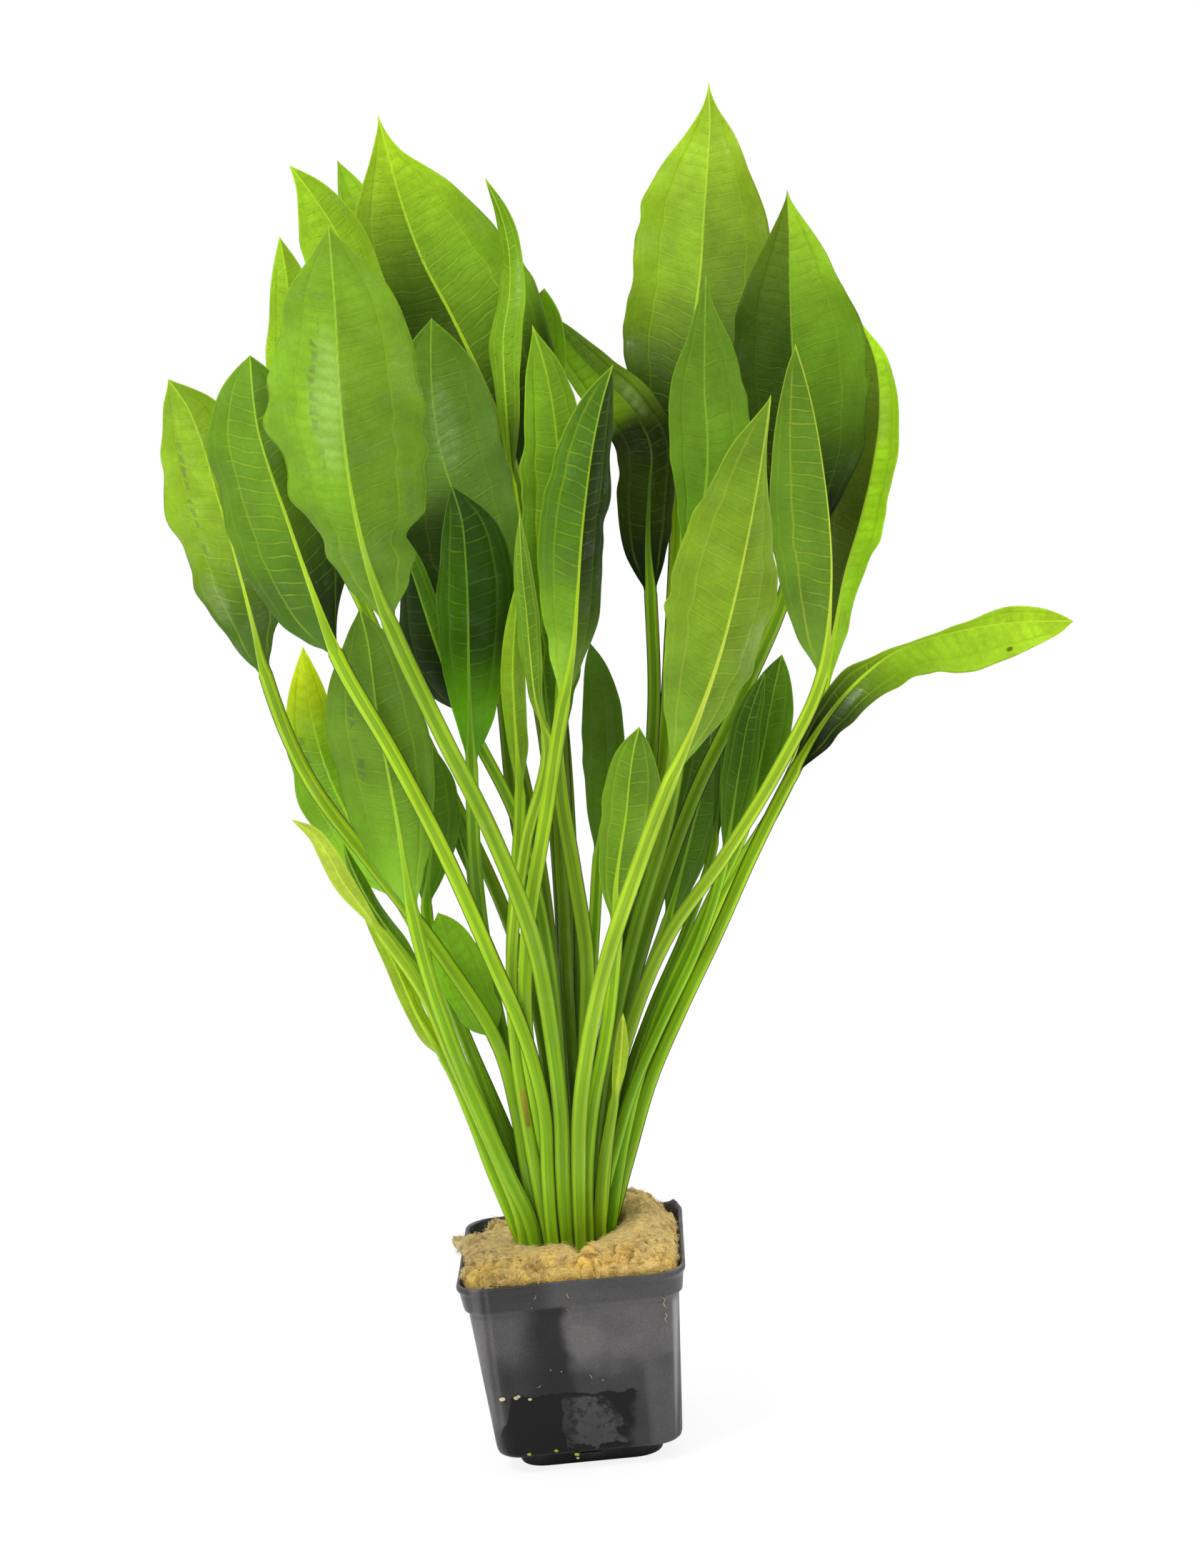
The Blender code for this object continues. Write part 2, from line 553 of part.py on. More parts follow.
def sections(line, places, centre, depth):
    """The stations of a leaf: seen places of five points across, depths and half thicknesses."""
    leaf, blade_end, total = line["leaf"], line["blade_end"], line["total"]
    along = np.gradient(centre, axis=0)
    along /= np.linalg.norm(along, axis=1)[:, None]
    sideways = np.stack((along[:, 1], -along[:, 0]), axis=1)
    blade = outline(places / blade_end, leaf.widest, leaf.slim)
    stalk = stalk_half(leaf, places, blade_end, total)
    u, v, y = [], [], []
    for share in ACROSS:
        seen = leaf.halves[0] if share < 0 else leaf.halves[1]
        back = leaf.fold[0] if share < 0 else leaf.fold[1]
        reach = share * np.maximum(stalk, blade * seen)
        u.append(centre[:, 0] + reach * sideways[:, 0])
        v.append(centre[:, 1] + reach * sideways[:, 1])
        turned = line["turn"] * blade * seen * share / PIXELS_PER_MM
        y.append(depth + back * blade * abs(share) ** 1.5 + turned)
    in_stalk = np.clip((places - 0.72 * blade_end) / (0.28 * blade_end), 0.0, 1.0) ** 2
    round_rib = STALK_FLATNESS * stalk / PIXELS_PER_MM
    rib = MIDRIB_HALF_THICKNESS + (round_rib - MIDRIB_HALF_THICKNESS) * in_stalk
    flank = BLADE_HALF_THICKNESS + (0.78 * rib - BLADE_HALF_THICKNESS) * in_stalk
    clearance = np.where(places <= blade_end * 1.02, BLADE_CLEARANCE, STALK_CLEARANCE)
    return {"u": np.array(u).T, "v": np.array(v).T, "y": np.array(y).T, "rib": rib,
            "flank": flank, "clearance": clearance}


CELL = 4.0                      # pixels, for the comparison of depths


def set_back(rings, frontier):
    """How far to set a leaf's stations back, so that it clears all that stands in front of it."""
    fine = 24
    last = len(rings["rib"]) - 1
    steps = np.linspace(0, last, last * fine + 1)
    across = np.linspace(-1.0, 1.0, 65)
    low = np.minimum(steps.astype(int), last - 1)
    share = (steps - low)[:, None]

    def spread(values):
        wide = np.array([np.interp(across, ACROSS, row) for row in values])
        return wide[low] * (1 - share) + wide[low + 1] * share

    def spread_line(values):
        return (values[low] * (1 - share[:, 0]) + values[low + 1] * share[:, 0])[:, None]

    u, v, y = (spread(rings[key]) for key in "uvy")
    room = np.ones_like(u) * (spread_line(rings["rib"]) + spread_line(rings["clearance"]))
    cells = (np.round(v / CELL).astype(int), np.round(u / CELL).astype(int))
    need = np.maximum(0.0, frontier[cells] + room - y).max(axis=1)
    shift = np.zeros(last + 1)
    for k in range(last + 1):
        shift[k] = need[max(0, (k - 1) * fine):(k + 1) * fine + 1].max()
    eased = np.convolve(np.pad(shift, 1, mode="edge"), (0.25, 0.5, 0.25), mode="valid")
    shift = np.maximum(shift, eased)
    y = spread(rings["y"] + shift[:, None])
    np.maximum.at(frontier, cells, y + room)
    return shift


def comb(lines):
    """Leads the stalks from the neck down to the crown without any two touching.

    Each line has its target points below the neck and its half widths there. At each level the
    stalks move on towards their targets and then push each other apart.
    """
    levels = [RING_LEVELS[0]]
    for upper, lower in zip(RING_LEVELS, RING_LEVELS[1:]):
        levels += list(np.linspace(upper, lower, COMB_STEPS + 1)[1:])
    now, before = {}, {}
    found = {line["leaf"].name: [] for line in lines}
    for number, level in enumerate(levels):
        active = [line for line in lines if line["low"][0, 2] >= level]
        spots, sizes = [], []
        for line in active:
            low, name = line["low"], line["leaf"].name
            order = np.argsort(low[:, 2])
            target = np.array([np.interp(level, low[order, 2], low[order, k]) for k in (0, 1)])
            size = [np.interp(level, low[order, 2], line["low_size"][order, k]) for k in (0, 1)]
            if name in now:
                spot = now[name] + target - before[name]
                spot = spot + 0.25 * (target - spot)
            else:
                spot = target
            before[name] = target
            spots.append(spot)
            sizes.append(size)
        spots, sizes = np.array(spots), np.array(sizes)
        room = sizes[:, None] + sizes[None] + 2 * STALK_CLEARANCE
        for _ in range(200):
            apart = spots[:, None] - spots[None]
            near = np.sqrt(((apart / room) ** 2).sum(axis=2)) + np.eye(len(spots)) * 9.0
            push = np.clip(1.0 / near - 1.0, 0.0, 1.0)[:, :, None] * apart * 0.5
            if push.max() < 0.002:
                break
            spots = spots + push.sum(axis=1)
        for line, spot in zip(active, spots):
            now[line["leaf"].name] = spot
            if number % COMB_STEPS == 0:
                found[line["leaf"].name].append((*spot, level))
    return {name: np.array(points) for name, points in found.items()}


def leaf_solid(rings):
    """The closed loft of a leaf from its stations."""
    middle = to_space(rings["u"], rings["v"], rings["y"])
    along = np.gradient(middle, axis=0)
    over = np.gradient(middle, axis=1)
    normal = np.cross(over, along)[1:]
    normal = np.concatenate((normal[:1], normal / np.linalg.norm(normal, axis=2)[:, :, None]))
    loops = []
    for k in range(1, len(middle)):
        half = (rings["flank"][k], rings["rib"][k], rings["flank"][k])
        front = [middle[k][c + 1] + half[c] * normal[k][c + 1] for c in range(3)]
        back = [middle[k][c + 1] - half[c] * normal[k][c + 1] for c in range(3)]
        loops.append([middle[k][0], *front, middle[k][4], *reversed(back)])
    return loft(loops, start_tip=middle[0][2])


def build_leaves(parts):
    frontier = np.full((600, 500), -1e6)
    lines = []
    for number, leaf in enumerate(LEAVES):
        line = read_leaf(leaf, number)
        places = stations_above(line)
        centre = np.stack([np.interp(places, line["place"], line["uv"][:, k]) for k in (0, 1)],
                          axis=1)
        depth = np.interp(places, line["place"], line["depth"])
        shift = np.zeros(len(places))
        if len(places) > 2:
            shift = set_back(sections(line, places, centre, depth), frontier)
        # below the last station the leaf eases back to its own root
        blend = np.clip((line["total"] - line["place"]) / (line["total"] - places[-1]), 0.0, 1.0)
        line["depth"] = line["depth"] + np.interp(line["place"], places, shift) * blend
        line.update(places=places, centre=centre, upper_depth=depth + shift)
        below = line["place"] >= places[-1]
        points = to_space(line["uv"][below, 0], line["uv"][below, 1], line["depth"][below])
        drop = np.clip((NECK_HEIGHT - points[:, 2]) / (NECK_HEIGHT - ROOT_HEIGHT), 0.0, 1.0)
        points[:, 0] *= 1.0 - (1.0 - ROOT_SQUEEZE) * drop
        width = np.maximum(stalk_half(leaf, line["place"][below], line["blade_end"],
                                      line["total"]),
                           outline(line["place"][below] / line["blade_end"], leaf.widest,
                                   leaf.slim) * max(leaf.halves)) / PIXELS_PER_MM
        thick = np.full_like(width, STALK_FLATNESS * leaf.stalk_px / 2 / PIXELS_PER_MM)
        thick = np.minimum(thick, STALK_FLATNESS * width)
        slope = np.gradient(points, axis=0)
        lean = np.linalg.norm(slope, axis=1) / np.maximum(1e-6, abs(slope[:, 2]))
        line["low"] = points
        line["low_size"] = np.stack((width * lean, thick * lean), axis=1)
        lines.append(line)
    lower = comb(lines)
    for line in lines:
        name = line["leaf"].name
        spots = lower[name]
        seen = np.array([to_view(spot) for spot in spots])
        low_places = np.interp(-spots[:, 2], -line["low"][:, 2], line["place"][-len(line["low"]):])
        places = np.concatenate((line["places"], low_places))
        centre = np.concatenate((line["centre"], seen))
        depth = np.concatenate((line["upper_depth"], spots[:, 1]))
        rings = sections(line, places, centre, depth)
        finish = "leaf_front" if line["leaf"].tip < 0 else "leaf_back"
        add_object(name, leaf_solid(rings), parts, finish)


def build():
    clear_scene()
    parts = new_collection("potted_amazon_sword")
    cutters = new_collection("cutters")
    build_pot(parts, cutters)
    build_wool(parts)
    build_crown(parts)
    build_leaves(parts)


build()
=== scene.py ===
"""The amazon sword plant in its pot of rock wool, dressed over its CAD frame.

The frame's solids give every leaf its place: each one is read ring by ring, a fine blade with
its midrib is laid through the rings, and the leaf goes on into its ridged stalk. Sizes are in
millimetres here and in metres in Blender. +Z is up and the front is -Y.
"""
import math
from collections import namedtuple
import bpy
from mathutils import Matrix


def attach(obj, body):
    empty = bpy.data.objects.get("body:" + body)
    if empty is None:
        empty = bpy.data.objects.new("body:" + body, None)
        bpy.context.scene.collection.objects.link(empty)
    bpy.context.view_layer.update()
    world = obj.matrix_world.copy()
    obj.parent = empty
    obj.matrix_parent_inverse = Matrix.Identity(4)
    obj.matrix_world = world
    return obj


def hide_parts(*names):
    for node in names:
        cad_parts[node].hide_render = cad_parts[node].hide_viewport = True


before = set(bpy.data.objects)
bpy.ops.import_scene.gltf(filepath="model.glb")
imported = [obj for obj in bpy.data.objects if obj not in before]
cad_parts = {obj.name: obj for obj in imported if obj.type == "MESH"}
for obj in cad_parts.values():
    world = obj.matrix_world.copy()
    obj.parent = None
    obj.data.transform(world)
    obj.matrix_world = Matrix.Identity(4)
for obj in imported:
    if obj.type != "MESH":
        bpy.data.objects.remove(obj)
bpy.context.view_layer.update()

from types import SimpleNamespace

import bmesh
import bpy
import numpy as np
from mathutils import Matrix, Vector, noise

MM = 0.001

# The photograph's view: its place in mm, its direction in degrees, its focal length in pixels.
VIEW_PLACE = np.array((54.7, -1034.3, 417.2))
VIEW_TURN, VIEW_DIP, VIEW_ROLL = math.radians(-1.5), math.radians(9.79), math.radians(-6.08)
VIEW_FOCAL = 4200.0
IMAGE_SIZE = (1680, 2196)
SENSOR = 36.0

# Pot
POT_WIDTH, POT_HEIGHT, POT_WALL, POT_CORNER = 80.0, 72.5, 1.1, 9.0
BAND_FOOT = 62.5                # height of the lower edge of the rim band
BODY_TOP_WIDTH, BODY_BOTTOM_WIDTH = 74.4, 66.0
FOOT_WIDTH, FOOT_HEIGHT = 51.0, 6.8
DRAIN_WIDTH, DRAIN_LENGTH, DRAIN_BOTTOM, DRAIN_TOP = 7.5, 100.0, 3.9, 6.0
UNDER_WIDTH, UNDER_CORNER = 30.0, 6.0           # of the flat middle of its underside
CORNER_STEPS, SIDE_STEPS = 8, 14

# Rock wool
WOOL_RIM, WOOL_SHOULDER, WOOL_RISE, WOOL_DIP = 74.5, 79.5, 3.2, 5.5
WOOL_HOLLOW = 3.2               # how much lower the wool is beside the stalks
TORN_EDGE = -24.0               # the wool is torn in front of this depth
POCKET_HEIGHTS = 73.0, 85.0     # the stalks leave the wool between these heights
POCKET_LEAST, POCKET_GAP = 8.0, 0.4             # how far it reaches at least, and past the stalks
POCKET_SIGHT, POCKET_BLUR = math.radians(13.0), 9       # the angles and the sides it is smoothed over
NOTCH = 813, 1758               # the pixel of the notch in front of the stalks
FIBRES, TUFTS, TUFT_FIBRES = 6200, 150, 22
FIBRE_STEPS, FIBRE_SIDES = 4, 3

# ---- the view ----

VIEW_AHEAD = np.array((math.sin(VIEW_TURN) * math.cos(VIEW_DIP),
                       math.cos(VIEW_TURN) * math.cos(VIEW_DIP), -math.sin(VIEW_DIP)))
LEVEL_RIGHT = np.array((math.cos(VIEW_TURN), -math.sin(VIEW_TURN), 0.0))
LEVEL_UP = np.cross(LEVEL_RIGHT, VIEW_AHEAD)
VIEW_RIGHT = math.cos(VIEW_ROLL) * LEVEL_RIGHT + math.sin(VIEW_ROLL) * LEVEL_UP
VIEW_UP = math.cos(VIEW_ROLL) * LEVEL_UP - math.sin(VIEW_ROLL) * LEVEL_RIGHT


def to_space(u, v, depth):
    """The point in mm seen at pixel (u, v) of the photograph's frame that lies at a depth y."""
    ray = (VIEW_AHEAD + (u - IMAGE_SIZE[0] / 2) / VIEW_FOCAL * VIEW_RIGHT
           - (v - IMAGE_SIZE[1] / 2) / VIEW_FOCAL * VIEW_UP)
    return VIEW_PLACE + (depth - VIEW_PLACE[1]) / ray[1] * ray


def add_object(name, data):
    thing = bpy.data.objects.new(name, data)
    bpy.context.scene.collection.objects.link(thing)
    return thing


def build_camera():
    lens = bpy.data.cameras.new("camera")
    lens.sensor_fit, lens.sensor_height = "VERTICAL", SENSOR
    lens.lens = VIEW_FOCAL / IMAGE_SIZE[1] * SENSOR
    lens.clip_start, lens.clip_end = 0.05, 20.0
    camera = add_object("camera", lens)
    turn = Matrix(np.transpose((VIEW_RIGHT, VIEW_UP, -VIEW_AHEAD)).tolist())
    camera.matrix_world = Matrix.Translation(VIEW_PLACE * MM) @ turn.to_4x4()
    bpy.context.scene.camera = camera


# ---- materials ----

def linear(rgb):
    """A colour given in 0-255 as it shows on a screen, as Blender's linear colour."""
    share = np.array(rgb, float) / 255.0
    return tuple(np.where(share > 0.04045, ((share + 0.055) / 1.055) ** 2.4, share / 12.92))


class Field:
    """A number that a material's nodes work out at each point of a surface."""

    def __init__(self, tree, socket):
        self.tree, self.socket = tree, socket

    def math(self, operation, *values):
        node = self.tree.nodes.new("ShaderNodeMath")
        node.operation = operation
        for slot, value in zip(node.inputs, (self, *values)):
            connect(self.tree, slot, value)
        return Field(self.tree, node.outputs[0])

    def __add__(self, other):
        return self.math("ADD", other)

    def __sub__(self, other):
        return self.math("SUBTRACT", other)

    def __mul__(self, other):
        return self.math("MULTIPLY", other)

    def __truediv__(self, other):
        return self.math("DIVIDE", other)

    def __abs__(self):
        return self.math("ABSOLUTE")

    def most(self, other):
        return self.math("MAXIMUM", other)

    def rest(self):
        """What is left of 1."""
        return self * -1.0 + 1.0

    def ramp(self, start, end, low=0.0, high=1.0):
        """low where the number is start and high where it is end, smooth between them."""
        node = self.tree.nodes.new("ShaderNodeMapRange")
        node.interpolation_type = "SMOOTHSTEP"
        for slot, value in zip(node.inputs, (self, start, end, low, high)):
            connect(self.tree, slot, value)
        return Field(self.tree, node.outputs[0])

    def line(self, at, half_width):
        """1 on a line where the number is at, fading out to each side."""
        return abs(self - at).ramp(half_width * 2.2, half_width * 0.4)


def connect(tree, slot, value):
    if isinstance(value, Field):
        tree.links.new(value.socket, slot)
    elif isinstance(value, bpy.types.NodeSocket):
        tree.links.new(value, slot)
    elif slot.type == "RGBA":
        slot.default_value = (*value[:3], 1.0)
    else:
        slot.default_value = value


class Paint:
    """A material, or the world, under construction."""

    def __init__(self, name, kind="materials"):
        self.owner = getattr(bpy.data, kind).new(name)
        self.owner.use_nodes = True
        self.tree = self.owner.node_tree
        self.tree.nodes.clear()
        self.place = self.node("ShaderNodeTexCoord").outputs["Object"]

    def node(self, kind, **inputs):
        """A node, with its input sockets set by name; _ stands for a space in it."""
        node = self.tree.nodes.new(kind)
        for name, value in inputs.items():
            connect(self.tree, node.inputs[name.replace("_", " ")], value)
        return node

    def parts(self, socket):
        node = self.node("ShaderNodeSeparateXYZ", Vector=socket)
        return [Field(self.tree, out) for out in node.outputs]

    def place_mm(self):
        return [part * 1000.0 for part in self.parts(self.place)]

    def attribute(self, name, output="Vector"):
        node = self.node("ShaderNodeAttribute")
        node.attribute_name = name
        return node.outputs[output]

    def noise(self, size_mm, detail=2, rough=0.5, stretch=None, distort=0, place=None):
        """Noise from about 0 to 1 with spots of that size. stretch is longer along an axis."""
        place = place or self.place
        if stretch:
            scale = [1.0 / s for s in stretch]
            place = self.node("ShaderNodeMapping", Vector=place, Scale=scale).outputs[0]
        node = self.node("ShaderNodeTexNoise", Vector=place, Scale=1.0 / (size_mm * MM),
                         Detail=detail, Roughness=rough, Distortion=distort)
        return Field(self.tree, node.outputs["Fac"])

    def mix(self, share, a, b):
        node = self.tree.nodes.new("ShaderNodeMix")
        node.data_type = "RGBA"
        for slot, value in ((0, share), (6, a), (7, b)):
            connect(self.tree, node.inputs[slot], value)
        return node.outputs[2]

    def shade(self, colour, *factors):
        """The colour times each of the numbers."""
        for factor in factors:
            node = self.node("ShaderNodeVectorMath", Vector=colour)
            node.operation = "SCALE"
            connect(self.tree, node.inputs["Scale"], factor)
            colour = node.outputs[0]
        return colour

    def ramp(self, share, *stops):
        """A colour that goes through the stops, each one (place, colour)."""
        node = self.tree.nodes.new("ShaderNodeValToRGB")
        connect(self.tree, node.inputs[0], share)
        ramp = node.color_ramp
        ramp.interpolation = "EASE"
        while len(ramp.elements) < len(stops):
            ramp.elements.new(0.5)
        for element, (place, colour) in zip(ramp.elements, stops):
            element.position = place
            element.color = (*colour, 1.0)
        return node.outputs[0]

    def bump(self, height_mm):
        return self.node("ShaderNodeBump", Height=height_mm * MM, Distance=1.0,
                         Strength=1.0).outputs[0]

    def principled(self, **inputs):
        return self.node("ShaderNodeBsdfPrincipled", **inputs)

    def mix_shaders(self, share, a, b):
        node = self.tree.nodes.new("ShaderNodeMixShader")
        for slot, value in zip(node.inputs, (share, a.outputs[0], b.outputs[0])):
            connect(self.tree, slot, value)
        return node

    def finish(self, shader, kind="ShaderNodeOutputMaterial"):
        self.node(kind, Surface=shader.outputs[0])
        return self.owner


# ---- meshes ----

def add_mesh(name, points, faces, material, replaced=None):
    """A new piece from points in mm, riding on the one body, with its faces turned outwards."""
    mesh = bpy.data.meshes.new(name)
    mesh.from_pydata((np.asarray(points) * MM).tolist(), [], faces)
    mesh.materials.append(material)
    mesh.shade_smooth()
    piece = add_object(name, mesh)
    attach(piece, "root")
    if replaced:
        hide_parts(replaced)
    bm = bmesh.new()
    bm.from_mesh(mesh)
    bmesh.ops.recalc_face_normals(bm, faces=bm.faces)
    bm.to_mesh(mesh)
    bm.free()
    return piece


def set_numbers(piece, name, values):
    """Gives each point of a mesh a number, or a row of three."""
    values = np.asarray(values, dtype=np.float32)
    kind, field = ("FLOAT", "value") if values.ndim == 1 else ("FLOAT_VECTOR", "vector")
    layer = piece.data.attributes.new(name, kind, "POINT")
    layer.data.foreach_set(field, values.ravel())


def loop_faces(rows, size, first=0):
    """Quads between rows of closed loops of one size, laid one after the other."""
    grid = first + np.arange(rows * size).reshape(rows, size)
    following = np.roll(grid, -1, axis=1)
    return np.stack((grid[:-1], grid[1:], following[1:], following[:-1]), axis=2).reshape(-1, 4)


def smooth_rows(knots, rows, at):
    """Rows on a smooth curve through the given ones, at new places."""
    rows, knots = np.asarray(rows, float), np.asarray(knots, float)
    slopes = np.gradient(rows, knots, axis=0)
    k = np.clip(np.searchsorted(knots, at, side="right") - 1, 0, len(knots) - 2)
    shape = (-1,) + (1,) * (rows.ndim - 1)
    step = (knots[k + 1] - knots[k]).reshape(shape)
    t = (at - knots[k]).reshape(shape) / step
    return ((2 * t ** 3 - 3 * t ** 2 + 1) * rows[k] + (t ** 3 - 2 * t ** 2 + t) * step * slopes[k]
            + (3 * t ** 2 - 2 * t ** 3) * rows[k + 1] + (t ** 3 - t ** 2) * step * slopes[k + 1])


def unit(vectors):
    return vectors / np.maximum(1e-9, np.linalg.norm(vectors, axis=-1))[..., None]


def ease(value, start, end):
    share = np.clip((value - start) / (end - start), 0.0, 1.0)
    return share * share * (3 - 2 * share)


# ---- how the leaves look ----

PALETTE = {
    "lime": (176, 208, 46), "bright": (156, 192, 46), "fresh": (134, 176, 46), "grass": (116, 160, 38),
    "olive": (106, 143, 42), "moss": (90, 136, 30), "deep": (76, 114, 32), "shade": (58, 92, 26),
    "dusty": (114, 150, 66), "straw": (190, 208, 66), "amber": (146, 174, 26), "gold": (192, 202, 28),
    "night": (34, 54, 18), "wood": (64, 110, 12),
}

# How a leaf looks: its colours at the tip, half way and at the base of the blade and on the rib,
# how much painted light and shade its left and its right half get at those three places, mostly
# shade from other leaves and from halves turned away from the lamps and light where a half is lit,
# partly the leaf's own tone (and where the first level ends and the second one starts, if that
# isn't 0.1 and 0.5), how pointed its outline is, how far its edges ruffle and its surface is pleated
# along the lateral veins in mm, how wet it is, where a row of wet blisters runs (its share of the
# half width, its start and its end along the blade), and where a pale bloom with a painted sheen
# lies (its share of the half width, its middle and its reach).
Look = namedtuple("Look", "colours left right slim ruffle pleat wet row bloom",
                  defaults=((1, 1, 1), (1, 1, 1), 1.3, 0.9, 0.5, 0.3, None, None))
EVEN = (1, 1, 1)

LOOKS = {
    "front_broad": Look("fresh fresh grass bright", (1, 1.22, 0.85), (0.95, 0.8, 0.75), 1.5, 3, 0.9,
        0.7, (-0.36, 0.18, 0.62), (-0.2, 0.42, 0.22)),
    "front_right": Look("fresh bright fresh straw", (0.75, 0.9, 0.95), (0.72, 0.7, 0.8), 1.6, 2, 0.5,
        0.4, None, (0.8, 0.62, 0.1)),
    "left_broad": Look("grass grass moss lime", (1.05, 1, 0.75), (0.75, 0.55, 0.12), 0.75, 1.8, 0.6,
        0.4),
    "lower_left": Look("olive olive grass bright", (1.15, 1.2, 1.3), (0.95, 1.05, 1.2), 1.4, 1.2, 0.5,
        0.4, (-0.5, 0.25, 0.6)),
    "front_centre": Look("moss moss fresh lime", (1, 1.1, 1.45), (0.3, 0.2, 0.45), 1.2, 1.2, 0.6, 0.5),
    "edge_on": Look("olive grass grass straw", (1.3, 1.2, 1.1), EVEN, 1.3, 0.8),
    "far_left": Look("bright bright moss lime", (1, 0.95, 0.62), (0.85, 0.75, 0.45), 1.2, 2.2, 0.9, 0.8,
        (-0.55, 0.16, 0.6), (-0.7, 0.72, 0.12)),
    "low_yellow": Look("straw straw lime straw", (1.1, 1.1, 1), (1, 1, 0.95), 1.3, 0.6, 0.2),
    "small_blunt": Look("fresh fresh grass bright", (1.5, 1.5, 1.3), (1.3, 1.3, 1.2), 0.9, 0.8),
    "low_narrow": Look("amber amber amber lime", (1.1, 1.1, 1.1), (1.1, 1.1, 1.1), 1.2, 0.4, 0.2),
    "small_right": Look("grass fresh grass lime", EVEN, (0.85, 0.85, 0.9), 1.2, 1),
    "shoot_right": Look("straw lime lime straw", EVEN, EVEN, 1.2, 0.2, 0.1),
    "ruffled": Look("fresh grass moss lime", (1.1, 0.95, 0.65), (1, 0.85, 0.5), 1.4, 2.6, 0.8),
    "pale": Look("bright bright fresh lime", (1.05, 1.05, 1), (1, 0.95, 0.9), 1.3, 0.8),
    "dark_left": Look("shade wood wood grass", (0.95, 1.05, 2.8), (0.8, 0.5, 2.3), 1.3, 0.9, 0.5, 0.5),
    "shoot_left": Look("fresh fresh bright lime", EVEN, EVEN, 1.2, 0.2, 0.1),
    "slender": Look("moss moss moss fresh", (0.3, 0.2, 0.15), EVEN, 1.3, 0.7),
    "folded_right": Look("olive olive olive straw", (1.15, 1.25, 1.1), (0.7, 0.5, 0.5), 1.1, 1, 0.5,
        0.4),
    "folded_left": Look("moss moss grass bright", EVEN, EVEN, 1.3, 0.5, 0.2),
    "yellowing": Look("gold grass grass lime", (1.3, 1.1, 1.7), (1.3, 1.15, 1.7), 1.2, 1.6, 0.7, 0.7,
        (-0.5, 0.25, 0.55)),
    "lower_inner": Look("deep deep moss grass", EVEN, (1.1, 1.1, 1.1), 1.2, 0.8),
    "lower_narrow": Look("deep deep deep grass", (0.8, 0.8, 0.8), (0.9, 0.9, 0.9), 1.2, 0.5, 0.2),
    "upper_outer": Look("bright bright grass lime", (1.15, 1.1, 1), (0.9, 0.8, 0.7), 1.2, 1, 0.5, 0.7),
    "rounded": Look("olive dusty moss fresh", (1.1, 0.25, 0.12, 0.4, 0.56), (1.1, 1, 0.7), 1, 1.4, 0.5,
        0.4, None, (0.12, 0.3, 0.16)),
    "right_inner": Look("deep deep moss grass", (0.9, 0.9, 0.9), (0.9, 0.9, 0.9), 1.2, 0.8),
    "right_behind": Look("moss moss moss grass", (0.7, 0.7, 0.7), (0.9, 0.9, 0.9), 1.2, 0.8),
    "pointed": Look("olive olive moss fresh", (1.15, 1.25, 1.2), (1.2, 1.4, 1.1), 1.8, 1.2, 0.5),
    "upper_middle": Look("bright bright grass lime", (1.15, 1.1, 0.7), (1, 0.85, 0.6), 1, 1, 0.6, 0.8),
    "twisted": Look("grass fresh fresh lime", (1, 1.1, 0.85), (1.1, 1.2, 0.6), 1.2, 0.6, 0.3, 0.8, None,
        (0.6, 0.35, 0.14)),
    "sideways": Look("lime bright moss lime", (0.95, 1, 0.1), (1, 1.2, 0.08), 0.6, 1.4, 0.6, 0.4),
    "upper_right": Look("bright grass deep fresh", (0.5, 0.28, 0.1), (1.1, 0.85, 0.04, 0.12, 0.42), 2.2,
        1.6, 0.5, 0.4),
    "dark_narrow": Look("shade shade shade deep", (0.8, 0.8, 0.8), (0.8, 0.8, 0.8), 1.2, 0.3, 0.2),
    "upper_left": Look("lime fresh moss lime", (0.95, 0.36, 0.25), (1, 0.95, 0.15, 0.1, 0.42), 2.1, 1.6,
        0.9, 0.8, (-0.5, 0.4, 0.72)),
    "upper_centre": Look("grass fresh moss fresh", (1, 1, 0.6), (1.2, 1.2, 0.7), 0.9, 0.8, 0.4, 0.5),
    "upper_inner": Look("bright fresh moss fresh", (1, 0.6, 0.4), (1.1, 0.7, 0.5), 1.2, 0.8, 0.5, 0.6),
    # painted shade: below its fold the arching leaf is painted a nearly black green
    "arching": Look("fresh bright night grass", (0.92, 0.08, 0.3, 0.36, 0.47),
        (0.6, 0.08, 0.3, 0.34, 0.5), 0.7, 0.8, 0.5, 1, None, (0.3, 0.36, 0.1)),
    "tallest": Look("lime bright moss lime", (0.95, 0.95, 0.1, 0.1, 0.4), (0.85, 0.62, 0.08, 0.1, 0.4),
        1.9, 1.6, 0.4, 0.3),
    "far_right": Look("bright bright fresh lime", (0.5, 0.25, 0.25), (1.35, 1.45, 1.35), 1.2, 1.6, 0.5,
        1, None, (0.25, 0.26, 0.1)),
    "dark_back": Look("shade shade deep deep", (1.2, 1.2, 1.2), (1.2, 1.2, 1.2), 1.1, 0.6),
    "dark_right": Look("deep deep moss grass", (0.7, 0.7, 0.7), (0.8, 0.8, 0.8), 1.1, 0.6),
}

